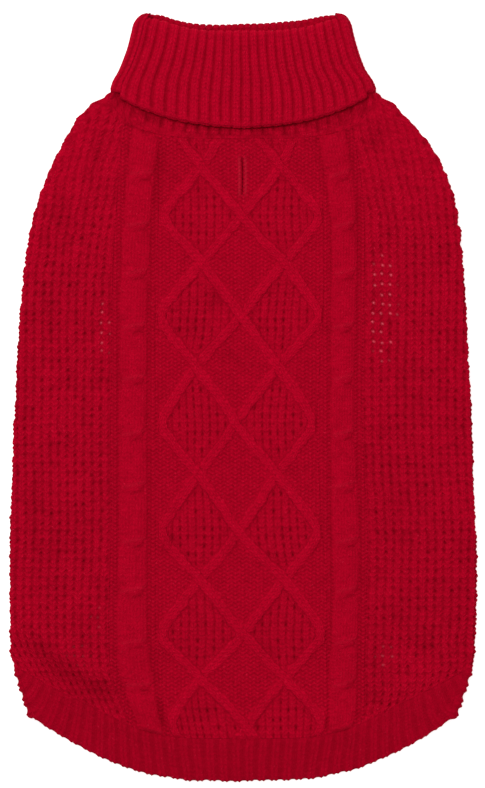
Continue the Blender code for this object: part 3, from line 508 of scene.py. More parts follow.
def plain_legs(u, v):
    """Legs of plain stitches: each bar climbs from the middle of its wale to the wale's edge."""
    from_middle = 2 * np.abs(off_whole(u - 0.5))
    return wave(v - 0.75 * from_middle) * (1 - np.abs(2 * from_middle - 1) ** 3)


def waffle_relief(u, v, seed):
    """Broken rib, and a mask of its holes' middles. Wales of slanting stitches stand up at whole u. Between
    them lies a column of holes at whole v, each a little off its place, with shallower dips halfway."""
    u = u + 0.05 * np.sin(2 * np.pi * v) + 0.07 * drift(u / 2, v / 1.5, seed + 7)
    v = v + 0.06 * drift(u / 1.2, v / 1.3, seed + 9)
    i = np.floor(u)
    j = np.round(v)
    k = np.floor(v)
    x = (u - i - 0.5 + 0.20 * (dice(i, j, seed) - 0.5)) * WAFFLE[0]
    y = (v - j + 0.20 * (dice(i, j, seed + 1) - 0.5)) * WAFFLE[1]
    dip_y = (v - k - 0.5) * WAFFLE[1]
    hole = (0.48 + 0.58 * dice(i, j, seed + 2)) * bell(np.hypot(x / 0.00105, y / 0.00115))
    dip = (0.08 + 0.42 * dice(i, k, seed + 3)) * bell(np.hypot(x / 0.00090, dip_y / 0.00100))
    legs = (0.4 + 0.6 * dice(np.round(u), np.floor(2 * v), seed + 5)) * plain_legs(u + 0.5, 2 * v)
    ridge = 0.50 * np.cos(2 * np.pi * u) + 0.15 * wave(v) + 2.1 * legs - 0.50
    uneven = 0.7 * drift(u / 1.7, v / 1.3, seed + 4)
    middle = (dice(i, j, seed + 8) > 0.25) * bell(np.hypot(x / 0.00055, y / 0.00055))
    return WAFFLE_RIDGE * (ridge + uneven) - HOLE * np.maximum(hole, dip), middle


def fill_relief(u, v, seed):
    """Filling of the diamonds: columns of slanting stitches, one knot to a row. Dark slots lie where the
    furrows between the columns meet the rows, and a shallow groove parts every second knot from the next."""
    u = u + 0.08 * drift(u / 1.5, v / 1.5, seed + 7)
    v = v + 0.12 * drift(u / 1.2, v / 1.2, seed + 9)
    column = np.round(u)
    row = np.round(v)
    x = (0.5 - np.abs(u - column)) * FILL[0]
    y = (v - row) * FILL[1]
    hole = (0.42 + 0.88 * dice(np.floor(u), row, seed + 3)) * bell(np.hypot(x / 0.00110, y / 0.00135))
    furrow = (0.40 + 0.14 * drift(u, v, seed + 4)) * bell(x / 0.00085)
    groove = (0.10 + 0.40 * dice(column, row, seed + 5)) * np.mod(column + row, 2)
    groove = groove * bell((u - column) * FILL[0] / 0.0015) * bell(y / 0.00070)
    legs = (0.4 + 0.6 * dice(column, np.floor(2 * v), seed + 6)) * plain_legs(u + 0.5, 2 * v)
    knot = 0.6 * bell((u - column) * FILL[0] / 0.0018) + 1.6 * legs - 0.5
    return WAFFLE_RIDGE * knot - HOLE * np.maximum(np.maximum(hole, furrow), groove)


def to_odd_row(rows):
    """Distance to the nearest odd row, in half repeats."""
    return np.abs((rows - 1) - 2 * np.round((rows - 1) / 2))


def lattice(across, rows):
    """Signed distances in metres to the nearest strand that leans to the right going down, and to the nearest
    that leans to the left. Strands run where across - rows, or across + rows, is odd, within |across| < 2. At
    their outer corners they follow 2 - k (sqrt(d^2 + r^2) - r), with d the distance to an odd row."""
    d = to_odd_row(rows)
    k = 1 / (np.hypot(1, CORNER_ROUND) - CORNER_ROUND)
    curve = 2 - k * (np.hypot(d, CORNER_ROUND) - CORNER_ROUND)
    slope = k * d / np.hypot(d, CORNER_ROUND)
    a = np.abs(across)
    corner_slope = k / np.hypot(1, CORNER_ROUND)
    ratio = np.where(d < 0.999, (curve - 1) / np.maximum(1 - d, 0.001), corner_slope)
    straight = np.where(a > 1, 1 + (a - 1) / ratio, a) * np.sign(across)
    turn = ease((a - 1) / 0.25)
    scale = 1 + (ratio - 1) * turn
    slope = 1 + (slope - 1) * turn
    metres = HALF_REPEAT[0] * scale * HALF_REPEAT[1] / np.hypot(HALF_REPEAT[0] * slope, HALF_REPEAT[1])
    found = []
    for lean in (1, -1):
        number = (straight - lean * rows - 1) / 2
        line = 2 * np.round(number) + 1 + lean * rows
        distance = (straight - line) * metres
        found.append(np.where(np.abs(line) > 2.0001, 1.0, distance))
    return found[0], found[1]


def strand_profile(distance):
    """Cross-section of a two-stitch strand: a soft round that runs out into the ground."""
    t = np.clip(np.abs(distance) / STRAND_HALF, 0, 1)
    return (1 - t ** 2.4) ** 1.5


def diamond_relief(across, rows, x, y):
    """Relief of the diamonds, and its knit values. The strands that lean to the right going down lie over
    the others, which dip on both sides of a crossing. Every second diamond is filled."""
    over, under = lattice(across, rows)
    wander = 0.0006 * drift(x / 0.0022, y / 0.0022, 41) + 0.0005 * drift(x / 0.007, y / 0.007, 43)
    over = over + wander
    under = under + wander
    a = np.abs(across)
    d = to_odd_row(rows)
    corner = ease((a - 1.25) / 0.35)
    h_over = strand_profile(over) * (1 + 0.10 * bell(under / 0.004) * (1 - corner))
    dive = np.maximum(ease((np.abs(over) - 0.35 * STRAND_HALF) / (0.8 * STRAND_HALF)), corner)
    h_under = strand_profile(under) * (0.45 + 0.55 * dive)
    strand = np.maximum(h_over, h_under) * ease((CORNER_END - a) / 0.05)
    on_strand = ease((strand - 0.02) / 0.75)
    off_strand = 1 - on_strand

    # between the strands: purl ground, or the filling
    filled = ease((np.minimum(a - d, 2 - d - a) * HALF_REPEAT[0] - 0.0006) / 0.0012)
    fill_u = (across - np.sign(across)) * HALF_REPEAT[0] / FILL[0]
    fill_v = y / FILL[1]
    closest = np.minimum(np.abs(over), np.abs(under))
    fill = fill_relief(fill_u, fill_v, 31) * (0.50 + 0.50 * ease((closest - 0.7 * STRAND_HALF) / 0.0022))
    purl, gaps, purl_u, purl_v = purl_ground(x, y)
    low = purl * (1 - filled) + fill * filled

    # stitches on the strands, which follow the nearer one
    wale = np.where(h_over >= h_under, over, under) / (0.62 * STRAND_HALF) + 0.5
    along = -y / COURSE
    rough = 0.5 * drift(x / 0.0019, y / 0.0014, 45)
    base = STRAND_RISE * strand - GROUND_DROP * (1 - filled)
    raised = base + STITCH_RISE * (2.3 * plain_legs(wale, along) + rough)
    relief = low * off_strand + raised * on_strand
    strand_share = ease((on_strand - 0.5) / 0.3) * ease(np.abs(h_over - h_under) / 0.15)
    fill_share = 0.8 * filled * ease((0.5 - on_strand) / 0.3)
    # painted shade along the strands' edges in the filled diamonds, over the filling and in the purl's gaps
    border = filled * bell((closest - 0.95 * STRAND_HALF) / 0.0017)
    shade = 0.06 * border + (0.05 * filled + gaps * (1 - filled)) * off_strand
    return relief, dict(
        stitch=[np.where(on_strand > 0.5, on, off) for on, off in zip(
            (wale, along, strand_share), (fill_u + 0.5, 2 * fill_v, fill_share))],
        purl=(purl_u, purl_v, (1 - filled) * off_strand),
        depth=painted_hollow_shade(relief) + shade,
    )


def cable_relief(s, rows):
    """Relief of a rope cable at s from -1 to 1 across it: a chain of barrel-shaped links. At each crossing
    the front strand swells and runs up to the right. Under its lower edge a thin furrow curves in from the
    right, where the back strand dives, and a shorter one lies at the upper left. The plain stitches follow
    the front strand from one half of the rope to the other."""
    crossing = np.round(rows - CABLE_CROSSING)
    phase = rows - CABLE_CROSSING - crossing
    uneven = dice(crossing, 0 * crossing, 15) - 0.5
    right = 1 - (0.26 + 0.08 * uneven) * bell((phase - 0.01) / 0.12)
    left = 1 - (0.19 - 0.08 * uneven) * bell((phase + 0.03) / 0.13)
    s = s / np.where(s > 0, right, left)
    rope = np.clip(1 - np.abs(s) ** 2.6, 0, 1) ** 0.8
    below = phase - 0.035 - 0.045 * (1 - s) ** 2 * (s < 1)
    above = -phase - 0.185 - 0.03 * (1 + s) ** 2
    inside = ease(rope / 0.55)
    line = bell(below / 0.021) * ease(0.55 + 1.2 * s) * inside
    upper_line = bell(above / 0.020) * ease(0.05 - 1.2 * s) * inside
    lower = ease(below / 0.02) * (1 - ease(below / 0.16)) * ease(0.3 + 1.5 * s)
    front = bell((phase + 0.075 + 0.05 * s) / 0.075)
    shape = rope * (0.84 + 0.20 * front - 0.12 * lower)
    u = 2.3 * s + 1.15 * (2 * crossing + 1 + np.tanh(phase / 0.09))
    v = -rows * HALF_REPEAT[1] / COURSE
    share = ease(rope / 0.5)
    wales = np.abs(np.sin(2 * np.pi * u)) ** 0.7
    stitches = STITCH_RISE * (0.9 * plain_legs(u, v) + 1.3 * wales) * share
    furrow = 0.00055 * line + 0.00035 * upper_line
    # painted shade over the rope and in the furrows at each crossing; its negative part, where the front
    # strand swells, is a painted highlight
    shade = 0.03 + 0.10 * lower + 0.30 * line + 0.16 * upper_line - 0.045 * front
    return CABLE_RISE * shape + stitches - furrow, (u, v, share), shade


def painted_hollow_shade(relief):
    """Painted shade: 0 on the ridges, growing to 1 at the bottom of the holes."""
    return np.clip((-0.0001 - relief) / 0.0020, 0, 1)


# ---------------------------------------------------------------- back panel

ROWS = np.linspace(FIRST_ROW, LAST_ROW, ROW_COUNT + 1)[:, None]
BASE_Y = through(ROWS, WALES, 1)
DOWN = (ROWS - FIRST_ROW) / (LAST_ROW - FIRST_ROW)
FROM_NECK = (ROWS - FIRST_ROW) * HALF_REPEAT[1]        # metres from each seam
TO_HEM = (LAST_ROW - ROWS) * HALF_REPEAT[1]
SEAM_FADE = ease(FROM_NECK / 0.0022) * ease(TO_HEM / 0.0020)   # the relief is pressed flat at both seams
INSIDE_ROWS = thinned(ROW_COUNT, INSIDE_STEP)


def seam_shift(neck, hem, fade):
    """How far a column's points move so that its ends meet the two seams; it fades along the rows."""
    return neck * (1 - DOWN) ** fade[0] + hem * DOWN ** fade[1]


def seam_rows(x_neck, x_hem, neck_seam, hem_seam, fade):
    """y of every row, for columns that meet the two seams at x_neck and at x_hem."""
    neck = through(x_neck, neck_seam) - BASE_Y[0]
    hem = through(x_hem, hem_seam) - BASE_Y[-1]
    return BASE_Y + seam_shift(neck, hem, fade)


def middle_grid(spans):
    """x, y and position across of a strip's columns. Each span gives the table columns that it runs between,
    its number of steps, and its offsets in metres at the first one and at the last one."""
    x = np.empty((len(ROWS), 0))
    across = np.empty(0)
    for wale_a, wale_b, steps, start, end in spans:
        share = np.linspace(0, 1, steps + 1)
        extra = start + (end - start) * share
        x_a = through(ROWS, WALES, wale_a)
        x_b = through(ROWS, WALES, wale_b)
        x = np.append(x[:, :-1], x_a + (x_b - x_a) * share + extra, axis=1)
        place = wale_a - CENTRE_WALE + share * (wale_b - wale_a) + extra / HALF_REPEAT[0]
        across = np.append(across[:-1], place)
    y = seam_rows(np.abs(x[:1]), np.abs(x[-1:]), NECK_SEAM_TOP, HEM_SEAM_TOP, FADE_CENTRE)
    return x, y, across + np.zeros_like(x)


def seam_row(x):
    """Rise of the small beads where a row of stitches is caught in the neck seam and in the hem seam."""
    bead = (0.25 + 0.75 * wave(x / WALE)) * np.clip(0.55 + 0.8 * drift(x / 0.009, 0 * x, 91), 0, 1)
    return SEAM_BEAD * bead * (bell((FROM_NECK - 0.0022) / 0.0009) + bell((TO_HEM - 0.0020) / 0.0008))


def seam_shade(x):
    """Uneven dark dashes along the neck seam, and weaker ones along the hem seam."""
    dash = ease(0.4 + 1.1 * drift(x / 0.0022, FROM_NECK / 0.0016, 92))
    return dash * (0.28 * bell((FROM_NECK - 0.0008) / 0.0014) + 0.12 * bell(TO_HEM / 0.0010))


def laid_face(x, y, relief, values):
    """Points and knit values of the back's upper face, with its creases and seam beads."""
    rise, shade = creases(x, y, CREASES)
    z = top_height(x, y) + WALL + relief * SEAM_FADE + rise + seam_row(x)
    values["depth"] = np.clip(values["depth"] + shade + seam_shade(x), 0, 1)
    return np.stack([x, y, z], -1), knit_values(**values)


def plain_inside(outer):
    """Points of the plain inner face under the back's upper face."""
    x, y = outer[..., 0], outer[..., 1]
    return np.stack([x, y, top_height(x, y)], -1)


def close_edges(shell, net, net_in, row_keys, column_keys):
    """Adds the four cut edges between an outer net and an inner one that has only the outer one's rows and
    columns whose numbers are given."""
    rows_at = np.arange(net.shape[0])
    columns_at = np.arange(net.shape[1])
    for end in (0, -1):
        shell.join(zip_triangles(net[end], columns_at, net_in[end], column_keys), wall=True)
        shell.join(zip_triangles(net[:, end], rows_at, net_in[:, end], row_keys), wall=True)


def make_sheet(name, outer, values, heights, inside, row_keys, column_keys, material):
    """A flat piece of cloth as a closed shell. Heights say along which diagonals its outer face is split,
    and its inner face keeps only the given rows and columns of the points inside."""
    shell = Shell(name)
    net = shell.add(outer, values)
    shell.join(grid_triangles(net, heights))
    inner = inside[row_keys][:, column_keys]
    net_in = shell.add(inner)
    shell.join(grid_triangles(net_in, inner[..., 2]))
    close_edges(shell, net, net_in, row_keys, column_keys)
    return shell.make(material)


MARGIN_LEFT = 0.0035       # the diamonds' strip reaches this far past their corners
MARGIN_RIGHT = 0.0030
MARGIN_STEPS = 6           # grid columns: in such a margin, in half a diamond, in a rope, beside a rope
DIAMOND_STEPS = 34
ROPE_STEPS = 38
GROUND_STEPS = 10
SLIT_LIP = 0.0006          # rise of the rolled edges of the leash slit
SLIT_OPEN = 0.0002         # the slit's width as it lies, nearly closed
SLIT_PULL = 0.0040         # the cloth beside the slit gives way over this distance


def build_cable(name, rope_left, rope_right, spans, material):
    """A lengthwise strip of the back: one rope between two table columns, on a purl ground."""
    x, y, _ = middle_grid(spans)
    low = through(ROWS, WALES, rope_left)
    high = through(ROWS, WALES, rope_right)
    s = (2 * x - low - high) / (high - low)
    rope, (u, v, on_rope), shade = cable_relief(s, ROWS)
    purl, gaps, purl_u, purl_v = purl_ground(x, y)
    edge = ease((np.abs(s) - 0.92) / 0.12)
    relief = np.maximum(rope - 0.0002 - 0.0005 * edge, purl)
    beside = ease((np.abs(s) - 0.80) / 0.15) * (1 - ease((np.abs(s) - 1.10) / 0.32))
    # painted shade in the hollows, in the rope's furrows, in the purl's gaps and beside the rope, and a
    # painted highlight where each front strand swells
    outer, values = laid_face(x, y, relief, dict(
        stitch=(u, v, 0.55 * on_rope),
        purl=(purl_u, purl_v, 1 - on_rope),
        depth=painted_hollow_shade(relief) + shade * on_rope + (gaps + 0.12 * beside) * (1 - on_rope),
        painted_light=np.clip(-shade, 0, 1) * on_rope,
    ))
    column_keys = thinned(x.shape[1] - 1, INSIDE_STEP)
    return make_sheet(name, outer, values, relief, plain_inside(outer), INSIDE_ROWS, column_keys, material)


def build_cables(material):
    left = [
        (CABLE_L_OUT, CABLE_L_OUT, GROUND_STEPS, -FURROW, 0.0),
        (CABLE_L_OUT, CABLE_L_IN, ROPE_STEPS, 0.0, 0.0),
        (CABLE_L_IN, DIAMOND_L, GROUND_STEPS, 0.0, -MARGIN_LEFT),
    ]
    right = [
        (DIAMOND_R, CABLE_R_IN, GROUND_STEPS, MARGIN_RIGHT, 0.0),
        (CABLE_R_IN, CABLE_R_OUT, ROPE_STEPS, 0.0, 0.0),
        (CABLE_R_OUT, CABLE_R_OUT, GROUND_STEPS, 0.0, FURROW),
    ]
    return [
        build_cable("back_cable_left", CABLE_L_OUT, CABLE_L_IN, left, material),
        build_cable("back_cable_right", CABLE_R_IN, CABLE_R_OUT, right, material),
    ]


def build_centre(material):
    """The middle strip with the diamonds. The leash slit parts it along the centre wale: there, each half
    has its own copy of the middle column, pushed aside as a lens with raised lips."""
    x, y, across = middle_grid([
        (DIAMOND_L, DIAMOND_L, MARGIN_STEPS, -MARGIN_LEFT, 0.0),
        *[(wale, wale + 1, DIAMOND_STEPS, 0.0, 0.0) for wale in range(DIAMOND_L, DIAMOND_R)],
        (DIAMOND_R, DIAMOND_R, MARGIN_STEPS, 0.0, MARGIN_RIGHT),
    ])
    relief, values = diamond_relief(across, ROWS, x, y)
    middle = MARGIN_STEPS + (CENTRE_WALE - DIAMOND_L) * DIAMOND_STEPS

    # the cloth is pulled over so that the middle column runs through the slit's place, and then parted
    t = (y[:, middle] - SLIT_Y) / (SLIT_LENGTH / 2)
    near = np.abs(x - x[:, middle:middle + 1])
    pull = (SLIT_X - x[:, middle]) * bell(t / 1.6)
    x = x + pull[:, None] * bell(near / 0.010)
    in_slit = np.flatnonzero(np.abs(t) < 1)
    lens = np.zeros(len(t))
    lens[in_slit] = SLIT_OPEN / 2 * np.sqrt(1 - t[in_slit] ** 2)
    side = np.sign(np.arange(x.shape[1]) - middle)
    side[middle] = -1
    by_slit = ease((1.25 - np.abs(t)) / 0.4)[:, None]
    crest = bell((near - 0.0018) / 0.0006) * by_slit
    rolled = bell(near / 0.0013)
    lip = SLIT_LIP * (crest - 0.6 * rolled * by_slit)
    # painted shade where the slit's edges roll in, and a painted highlight on its lips
    values["depth"] = values["depth"] * (1 - crest) + 0.16 * rolled * by_slit
    values["painted_light"] = 0.06 * crest
    outer, values = laid_face(x, y, relief + lip, values)
    outer[..., 0] += side * (lens[:, None] * bell(near / SLIT_PULL))
    shell = Shell("back_diamonds")
    net = shell.add(outer, values)

    # plain inside, with every row of the slit
    row_keys = np.union1d(INSIDE_ROWS, np.arange(in_slit[0] - 1, in_slit[-1] + 2))
    column_keys = np.union1d(thinned(x.shape[1] - 1, INSIDE_STEP), [middle])
    inner = plain_inside(outer)[row_keys][:, column_keys]
    net_in = shell.add(inner)
    middle_in = int(np.flatnonzero(column_keys == middle)[0])
    slit_in = np.flatnonzero(np.isin(row_keys, in_slit))

    def parted(points, whole, cut_rows, column, knit):
        """A copy of a net whose middle column has vertices of its own, to the right of the slit."""
        copies = points[cut_rows, column].copy()
        copies[:, 0] += 2 * lens[in_slit]
        other = whole.copy()
        other[cut_rows, column] = shell.add(copies, knit)
        return other

    lip_values = {key: value[in_slit, middle] for key, value in values.items()}
    net_right = parted(outer, net, in_slit, middle, lip_values)
    net_in_right = parted(inner, net_in, slit_in, middle_in, None)
    for left, right, heights, column in (
            (net, net_right, relief, middle), (net_in, net_in_right, inner[..., 2], middle_in)):
        shell.join(grid_triangles(left[:, :column + 1], heights[:, :column + 1]))
        shell.join(grid_triangles(right[:, column:], heights[:, column:]))
    span = slice(in_slit[0] - 1, in_slit[-1] + 2)
    span_in = slice(slit_in[0] - 1, slit_in[-1] + 2)
    for upper, lower in ((net, net_in), (net_right, net_in_right)):
        edge = np.stack([upper[span, middle], lower[span_in, middle_in]], axis=1)
        shell.join(grid_triangles(edge, np.zeros(edge.shape)), wall=True)
    close_edges(shell, net, net_in, row_keys, column_keys)
    return shell.make(material)


# ---------------------------------------------------------------- flanks, side folds and flaps

FLANK_COLUMNS = 84
FOLD_COLUMNS = 16
FLAP_COLUMNS = 60
FLAP_START = FLANK_COLUMNS + FOLD_COLUMNS      # number of the flap's first column
FLAP_INSIDE_STEP = 5       # the flap's plain inside uses every fifth column
LEAN = {-1: 1.5, 1: 1.0}   # how fast the waffle's columns lean in towards the neck, per metre
LEAN_FROM = 0.045
SHOULDER_RISE = 0.0020     # the fold's small bulge beside the collar's corner
SHOULDER_Y = 0.1782
LIT_RISE = 0.0007          # holes that light comes through are shallower by this much


def mixed(fade_a, fade_b, share):
    """Fades that change evenly from one pair to another."""
    return tuple(a + (b - a) * share for a, b in zip(fade_a, fade_b))


def flank_grid(side, x_edge, neck_limit, hem_limit):
    """x and y from the cable to the side fold. x counts outwards here, on both sides."""
    share = np.linspace(0, 1, FLANK_COLUMNS + 1)[None, :]
    x_neck = x_edge[0] + (neck_limit - x_edge[0]) * share
    x_hem = x_edge[-1] + (hem_limit - x_edge[-1]) * share
    y = seam_rows(x_neck, x_hem, NECK_SEAM_TOP, HEM_SEAM_TOP, mixed(FADE_CENTRE, FADE_FOLD, share))
    x = x_edge + (fold_limit(y, side) - x_edge) * share
    return x + seam_shift(x_neck - x[:1], x_hem - x[-1:], FADE_CENTRE), y


def fold_grid(side, neck_limit, hem_limit):
    """The fold's columns: x of its axis, y, radius, angle above the ground, and run along the cloth."""
    angle = np.radians(90 - 180 * np.arange(1, FOLD_COLUMNS) / FOLD_COLUMNS)[None, :]
    reach = FOLD_REACH * np.cos(angle)
    y = seam_rows(neck_limit + reach, hem_limit + reach, NECK_SEAM_TOP, HEM_SEAM_TOP, FADE_FOLD)
    axis = fold_limit(y, side)
    radius = fold_radius(axis, y)
    run = axis + radius * (np.pi / 2 - angle)
    axis = axis + seam_shift(neck_limit - axis[:1], hem_limit - axis[-1:], FADE_CENTRE)
    return axis, y, radius, angle, run


def flap_grid(side, neck_limit, hem_limit):
    """x and y from the fold back to the belly seam, underneath, and the run along the cloth."""
    share = np.linspace(0, 1, FLAP_COLUMNS + 1)[None, :]
    x_neck = neck_limit + (BELLY_HALF - neck_limit) * share
    x_hem = hem_limit + (BELLY_HALF - hem_limit) * share
    y = seam_rows(x_neck, x_hem, NECK_SEAM_UNDER, HEM_SEAM_UNDER, mixed(FADE_FOLD, FADE_FLAP, share))
    limit = fold_limit(y, side)
    x = limit + (flap_edge(y) - limit) * share
    run = limit + np.pi * fold_radius(limit, y) + limit - x
    return x + seam_shift(x_neck - x[:1], x_hem - x[-1:], FADE_CENTRE), y, run


def waffle_place(side, run, y, x_edge):
    """Column and row of the waffle, measured along the cloth from the cable and looser near the neck."""
    start = x_edge - 0.5 * LEAN[side] * np.clip(y - LEAN_FROM, 0, None) ** 2
    u = (run - start) / WAFFLE[0] + 0.25
    v = y / WAFFLE[1] + 0.15 * drift(u / 6, y / 0.03, 51 + side)
    near_neck = ease((y - 0.05) / 0.06)
    u = u + near_neck * 0.16 * drift(u / 1.4, v / 1.6, 53 + side)
    v = v + near_neck * 0.22 * drift(u / 1.5, v / 1.4, 55 + side)
    return u, v, near_neck


def fold_steps(side, v, near_neck):
    """The waffle's rows stand out as uneven steps round the fold, one for every second row."""
    step = v / 2 - np.floor(v / 2)
    step = ease(step / 0.8) * (1 - ease((step - 0.8) / 0.2))
    step = step * (0.7 + 0.6 * dice(np.floor(v / 2), 0 * v, 57 + side))
    return (0.0006 + 0.0004 * near_neck) * (step - 0.35)


def build_side(side, material):
    """One flank, its fold and the flap under it."""
    x_edge = side * through(ROWS, WALES, CABLE_L_OUT if side < 0 else CABLE_R_OUT) + FURROW
    limits = float(neck_fold(side)), float(hem_fold(side))
    x_flank, y_flank = flank_grid(side, x_edge, *limits)
    axis, y_fold, radius, angle, run_fold = fold_grid(side, *limits)
    x_flap, y_flap, run_flap = flap_grid(side, *limits)
    y = np.concatenate([y_flank, y_fold, y_flap], axis=1)
    run = np.concatenate([x_flank, run_fold, run_flap], axis=1)

    # relief: a narrow strip of purl beside the cable, and waffle
    u, v, near_neck = waffle_place(side, run, y, x_edge)
    waffle, hole_middle = waffle_relief(u, v, 61 + side)
    purl, gaps, purl_u, purl_v = purl_ground(side * run, y)
    beside = ease((run - x_edge) / 0.0022)
    shoulders = ease((y - 0.085) / 0.06)
    waffle = waffle * (1 - 0.35 * shoulders)
    relief = purl * (1 - beside) + waffle * beside
    relief = relief * SEAM_FADE + seam_row(run)

    # forms of the laid cloth. under grows from 0 on the upper face to 1 on the lower one
    under = np.concatenate([
        np.zeros_like(y_flank),
        ease((np.pi / 2 - angle) / np.pi) * np.ones_like(y_fold),
        np.ones_like(y_flap),
    ], axis=1)
    upper = 1 - ease(3 * under)
    turning = bell((under - 0.35) / 0.25)
    rise, shade = (np.append((top * upper)[:, :FLAP_START], low, axis=1) for top, low in zip(
        creases(side * run, y, CREASES), creases(side * x_flap, y_flap, UNDER_CREASES)))
    steps = fold_steps(side, v, near_neck) * turning * SEAM_FADE
    shoulder = SHOULDER_RISE * bell((y - SHOULDER_Y) / 0.0038) * bell((under - 0.5) / 0.3) * SEAM_FADE
    clear = under * WAFFLE_RIDGE * 2.5 * ease(FROM_NECK / 0.0045)
    lit_holes = hole_middle * beside * upper * open_knit(side * run, y)
    relief_out = relief * (1 + 0.5 * turning) + steps + shoulder + rise - clear + LIT_RISE * lit_holes

    # points
    relief_flank, relief_fold, relief_flap = np.split(relief_out, [FLANK_COLUMNS + 1, FLAP_START], axis=1)
    x_fold = axis + (radius + relief_fold) * np.cos(angle)
    z_fold = under_height(axis, y_fold) + radius + (radius + relief_fold) * np.sin(angle)
    low_flank = top_height(x_flank, y_flank)
    low_flap = under_height(x_flap, y_flap)
    x = side * np.concatenate([x_flank, x_fold, x_flap], axis=1)
    z = np.concatenate([low_flank + WALL + relief_flank, z_fold, low_flap - relief_flap], axis=1)
    z_inside = np.concatenate([low_flank, z_fold, low_flap + WALL], axis=1)
    # painted shade in the hollows and creases, along the seams and round the fold, and painted light towards
    # the shoulders and through the open holes
    depth = painted_hollow_shade(relief) + shade + seam_shade(side * run) * upper + 0.25 * turning - 0.05 * shoulders
    values = knit_values(
        stitch=(u + 0.5, 2 * v, beside * ease(0.5 + relief / 0.0005)),
        purl=(purl_u, purl_v, 1 - beside),
        depth=np.clip(depth + gaps * (1 - beside), 0, 1),
        painted_light=lit_holes,
    )

    # the plain inside skips the fold's columns
    column_keys = np.append(thinned(FLANK_COLUMNS, INSIDE_STEP),
                            FLAP_START + thinned(FLAP_COLUMNS, FLAP_INSIDE_STEP))
    return make_sheet("back_side_left" if side < 0 else "back_side_right", np.stack([x, y, z], -1), values,
                      relief, np.stack([x, y, z_inside], -1), INSIDE_ROWS, column_keys, material)


# ---------------------------------------------------------------- belly panel

BELLY_ROWS = 280
BELLY_COLUMNS = 110
BELLY_INSIDE_STEP = 10     # the belly's plain inside uses every tenth of both
BELLY_GAP = 0.0001         # the panel stays this far inside its seams
RIM_LIFT = 0.0007          # and its edges are lifted this much off the floor


def build_belly(material):
    """The plain panel on the underside: its stitches are sunk into the face that rests on the floor."""
    share = np.linspace(-1, 1, BELLY_COLUMNS + 1)[None, :]
    t = np.linspace(0, 1, BELLY_ROWS + 1)[:, None]
    y_neck = through(np.abs(share) * BELLY_HALF, NECK_SEAM_UNDER)
    y_hem = through(np.abs(share) * BELLY_HALF, HEM_SEAM_UNDER)
    y = y_neck + (y_hem - y_neck) * t
    x = share * (belly_half_width(y) - BELLY_GAP)
    u = x / WALE
    v = y / COURSE
    legs = wave(v - 0.5 * np.abs(off_whole(u)))
    sunk = 0.00030 * legs + 0.00030 * (1 - wave(u + 0.5) ** 0.5)
    rim = ease(1 - (1 - np.abs(share)) * BELLY_HALF / 0.002)
    rise, shade = creases(x, y, UNDER_CREASES)
    low = under_height(x, y)
    outer = np.stack([x, y, low + sunk + RIM_LIFT * rim - rise], -1)
    inside = np.stack([x, y, low + WALL], -1)
    # painted shade where the stitches are sunk and in the creases
    values = knit_values(stitch=(u + 0.5, v, 1.0), depth=sunk / 0.0012 + shade)
    return make_sheet("belly", outer, values, -sunk, inside, thinned(BELLY_ROWS, BELLY_INSIDE_STEP),
                      thinned(BELLY_COLUMNS, BELLY_INSIDE_STEP), material)


# ---------------------------------------------------------------- hem band

BAND_RIBS = 36             # ribs on the band's upper face
BAND_FOLD_RIBS = 0.5       # ribs round each side fold
FOLD_STATIONS = 20         # grid columns round each side fold
BAND_SAMPLES = 10          # grid columns in one rib
BAND_ROWS = 36             # grid rows from the seam to the free edge
EDGE_ANGLES = np.radians([30, 60, 90, 120, 150, 180])      # rows of the half round at the free edge
BAND_INSIDE_ROWS = 6       # rows of the plain inside, the first of them on the half round's end
FOLD_HOLLOW = 0.0003       # smallest radius of the inside of a fold
BAND_SKEW = 3.3            # ribs that slant across each side fold between the seam and the free edge
SKEW_FROM = 0.25           # share of the half-width from which the ribs slant


def hem_arc(share):
    """Share of the hem's length along its curve, from -1 to 1, for a share of its width."""
    fine = np.linspace(0, 1, 400)
    x = fine * HEM_SEAM_TOP[-1][0]
    y = through(x, HEM_SEAM_TOP)
    length = np.append(0, np.cumsum(np.hypot(np.diff(x), np.diff(y))))
    return np.sign(share) * np.interp(np.abs(share), fine, length / length[-1])


def double_rib(t):
    """Two stitches up and one down: two narrow crests beside the middle of each repeat, and a wide furrow
    round its ends."""
    t = t - np.floor(t)
    crests = np.maximum(bell((t - 0.33) / 0.075), bell((t - 0.67) / 0.075))
    body = ease((0.42 - np.abs(t - 0.5)) / 0.18)
    return 0.68 * crests + 0.32 * body


def band_line(share, turned, seam, edge):
    """Start and end of the line across the band at a share of the way from the centre to a fold."""
    side = np.where(share < 0, -1, 1)
    seam_x = np.abs(share) * hem_fold(side)
    edge_x = np.abs(share) * fold_limit(HEM_EDGE_TOP[-1][1], side)
    past = FOLD_REACH * np.sin(turned[:, 0])
    a = np.stack([side * seam_x, through(seam_x + past, seam)], -1)
    b = np.stack([side * edge_x, through(edge_x, edge)], -1)
    return a, b


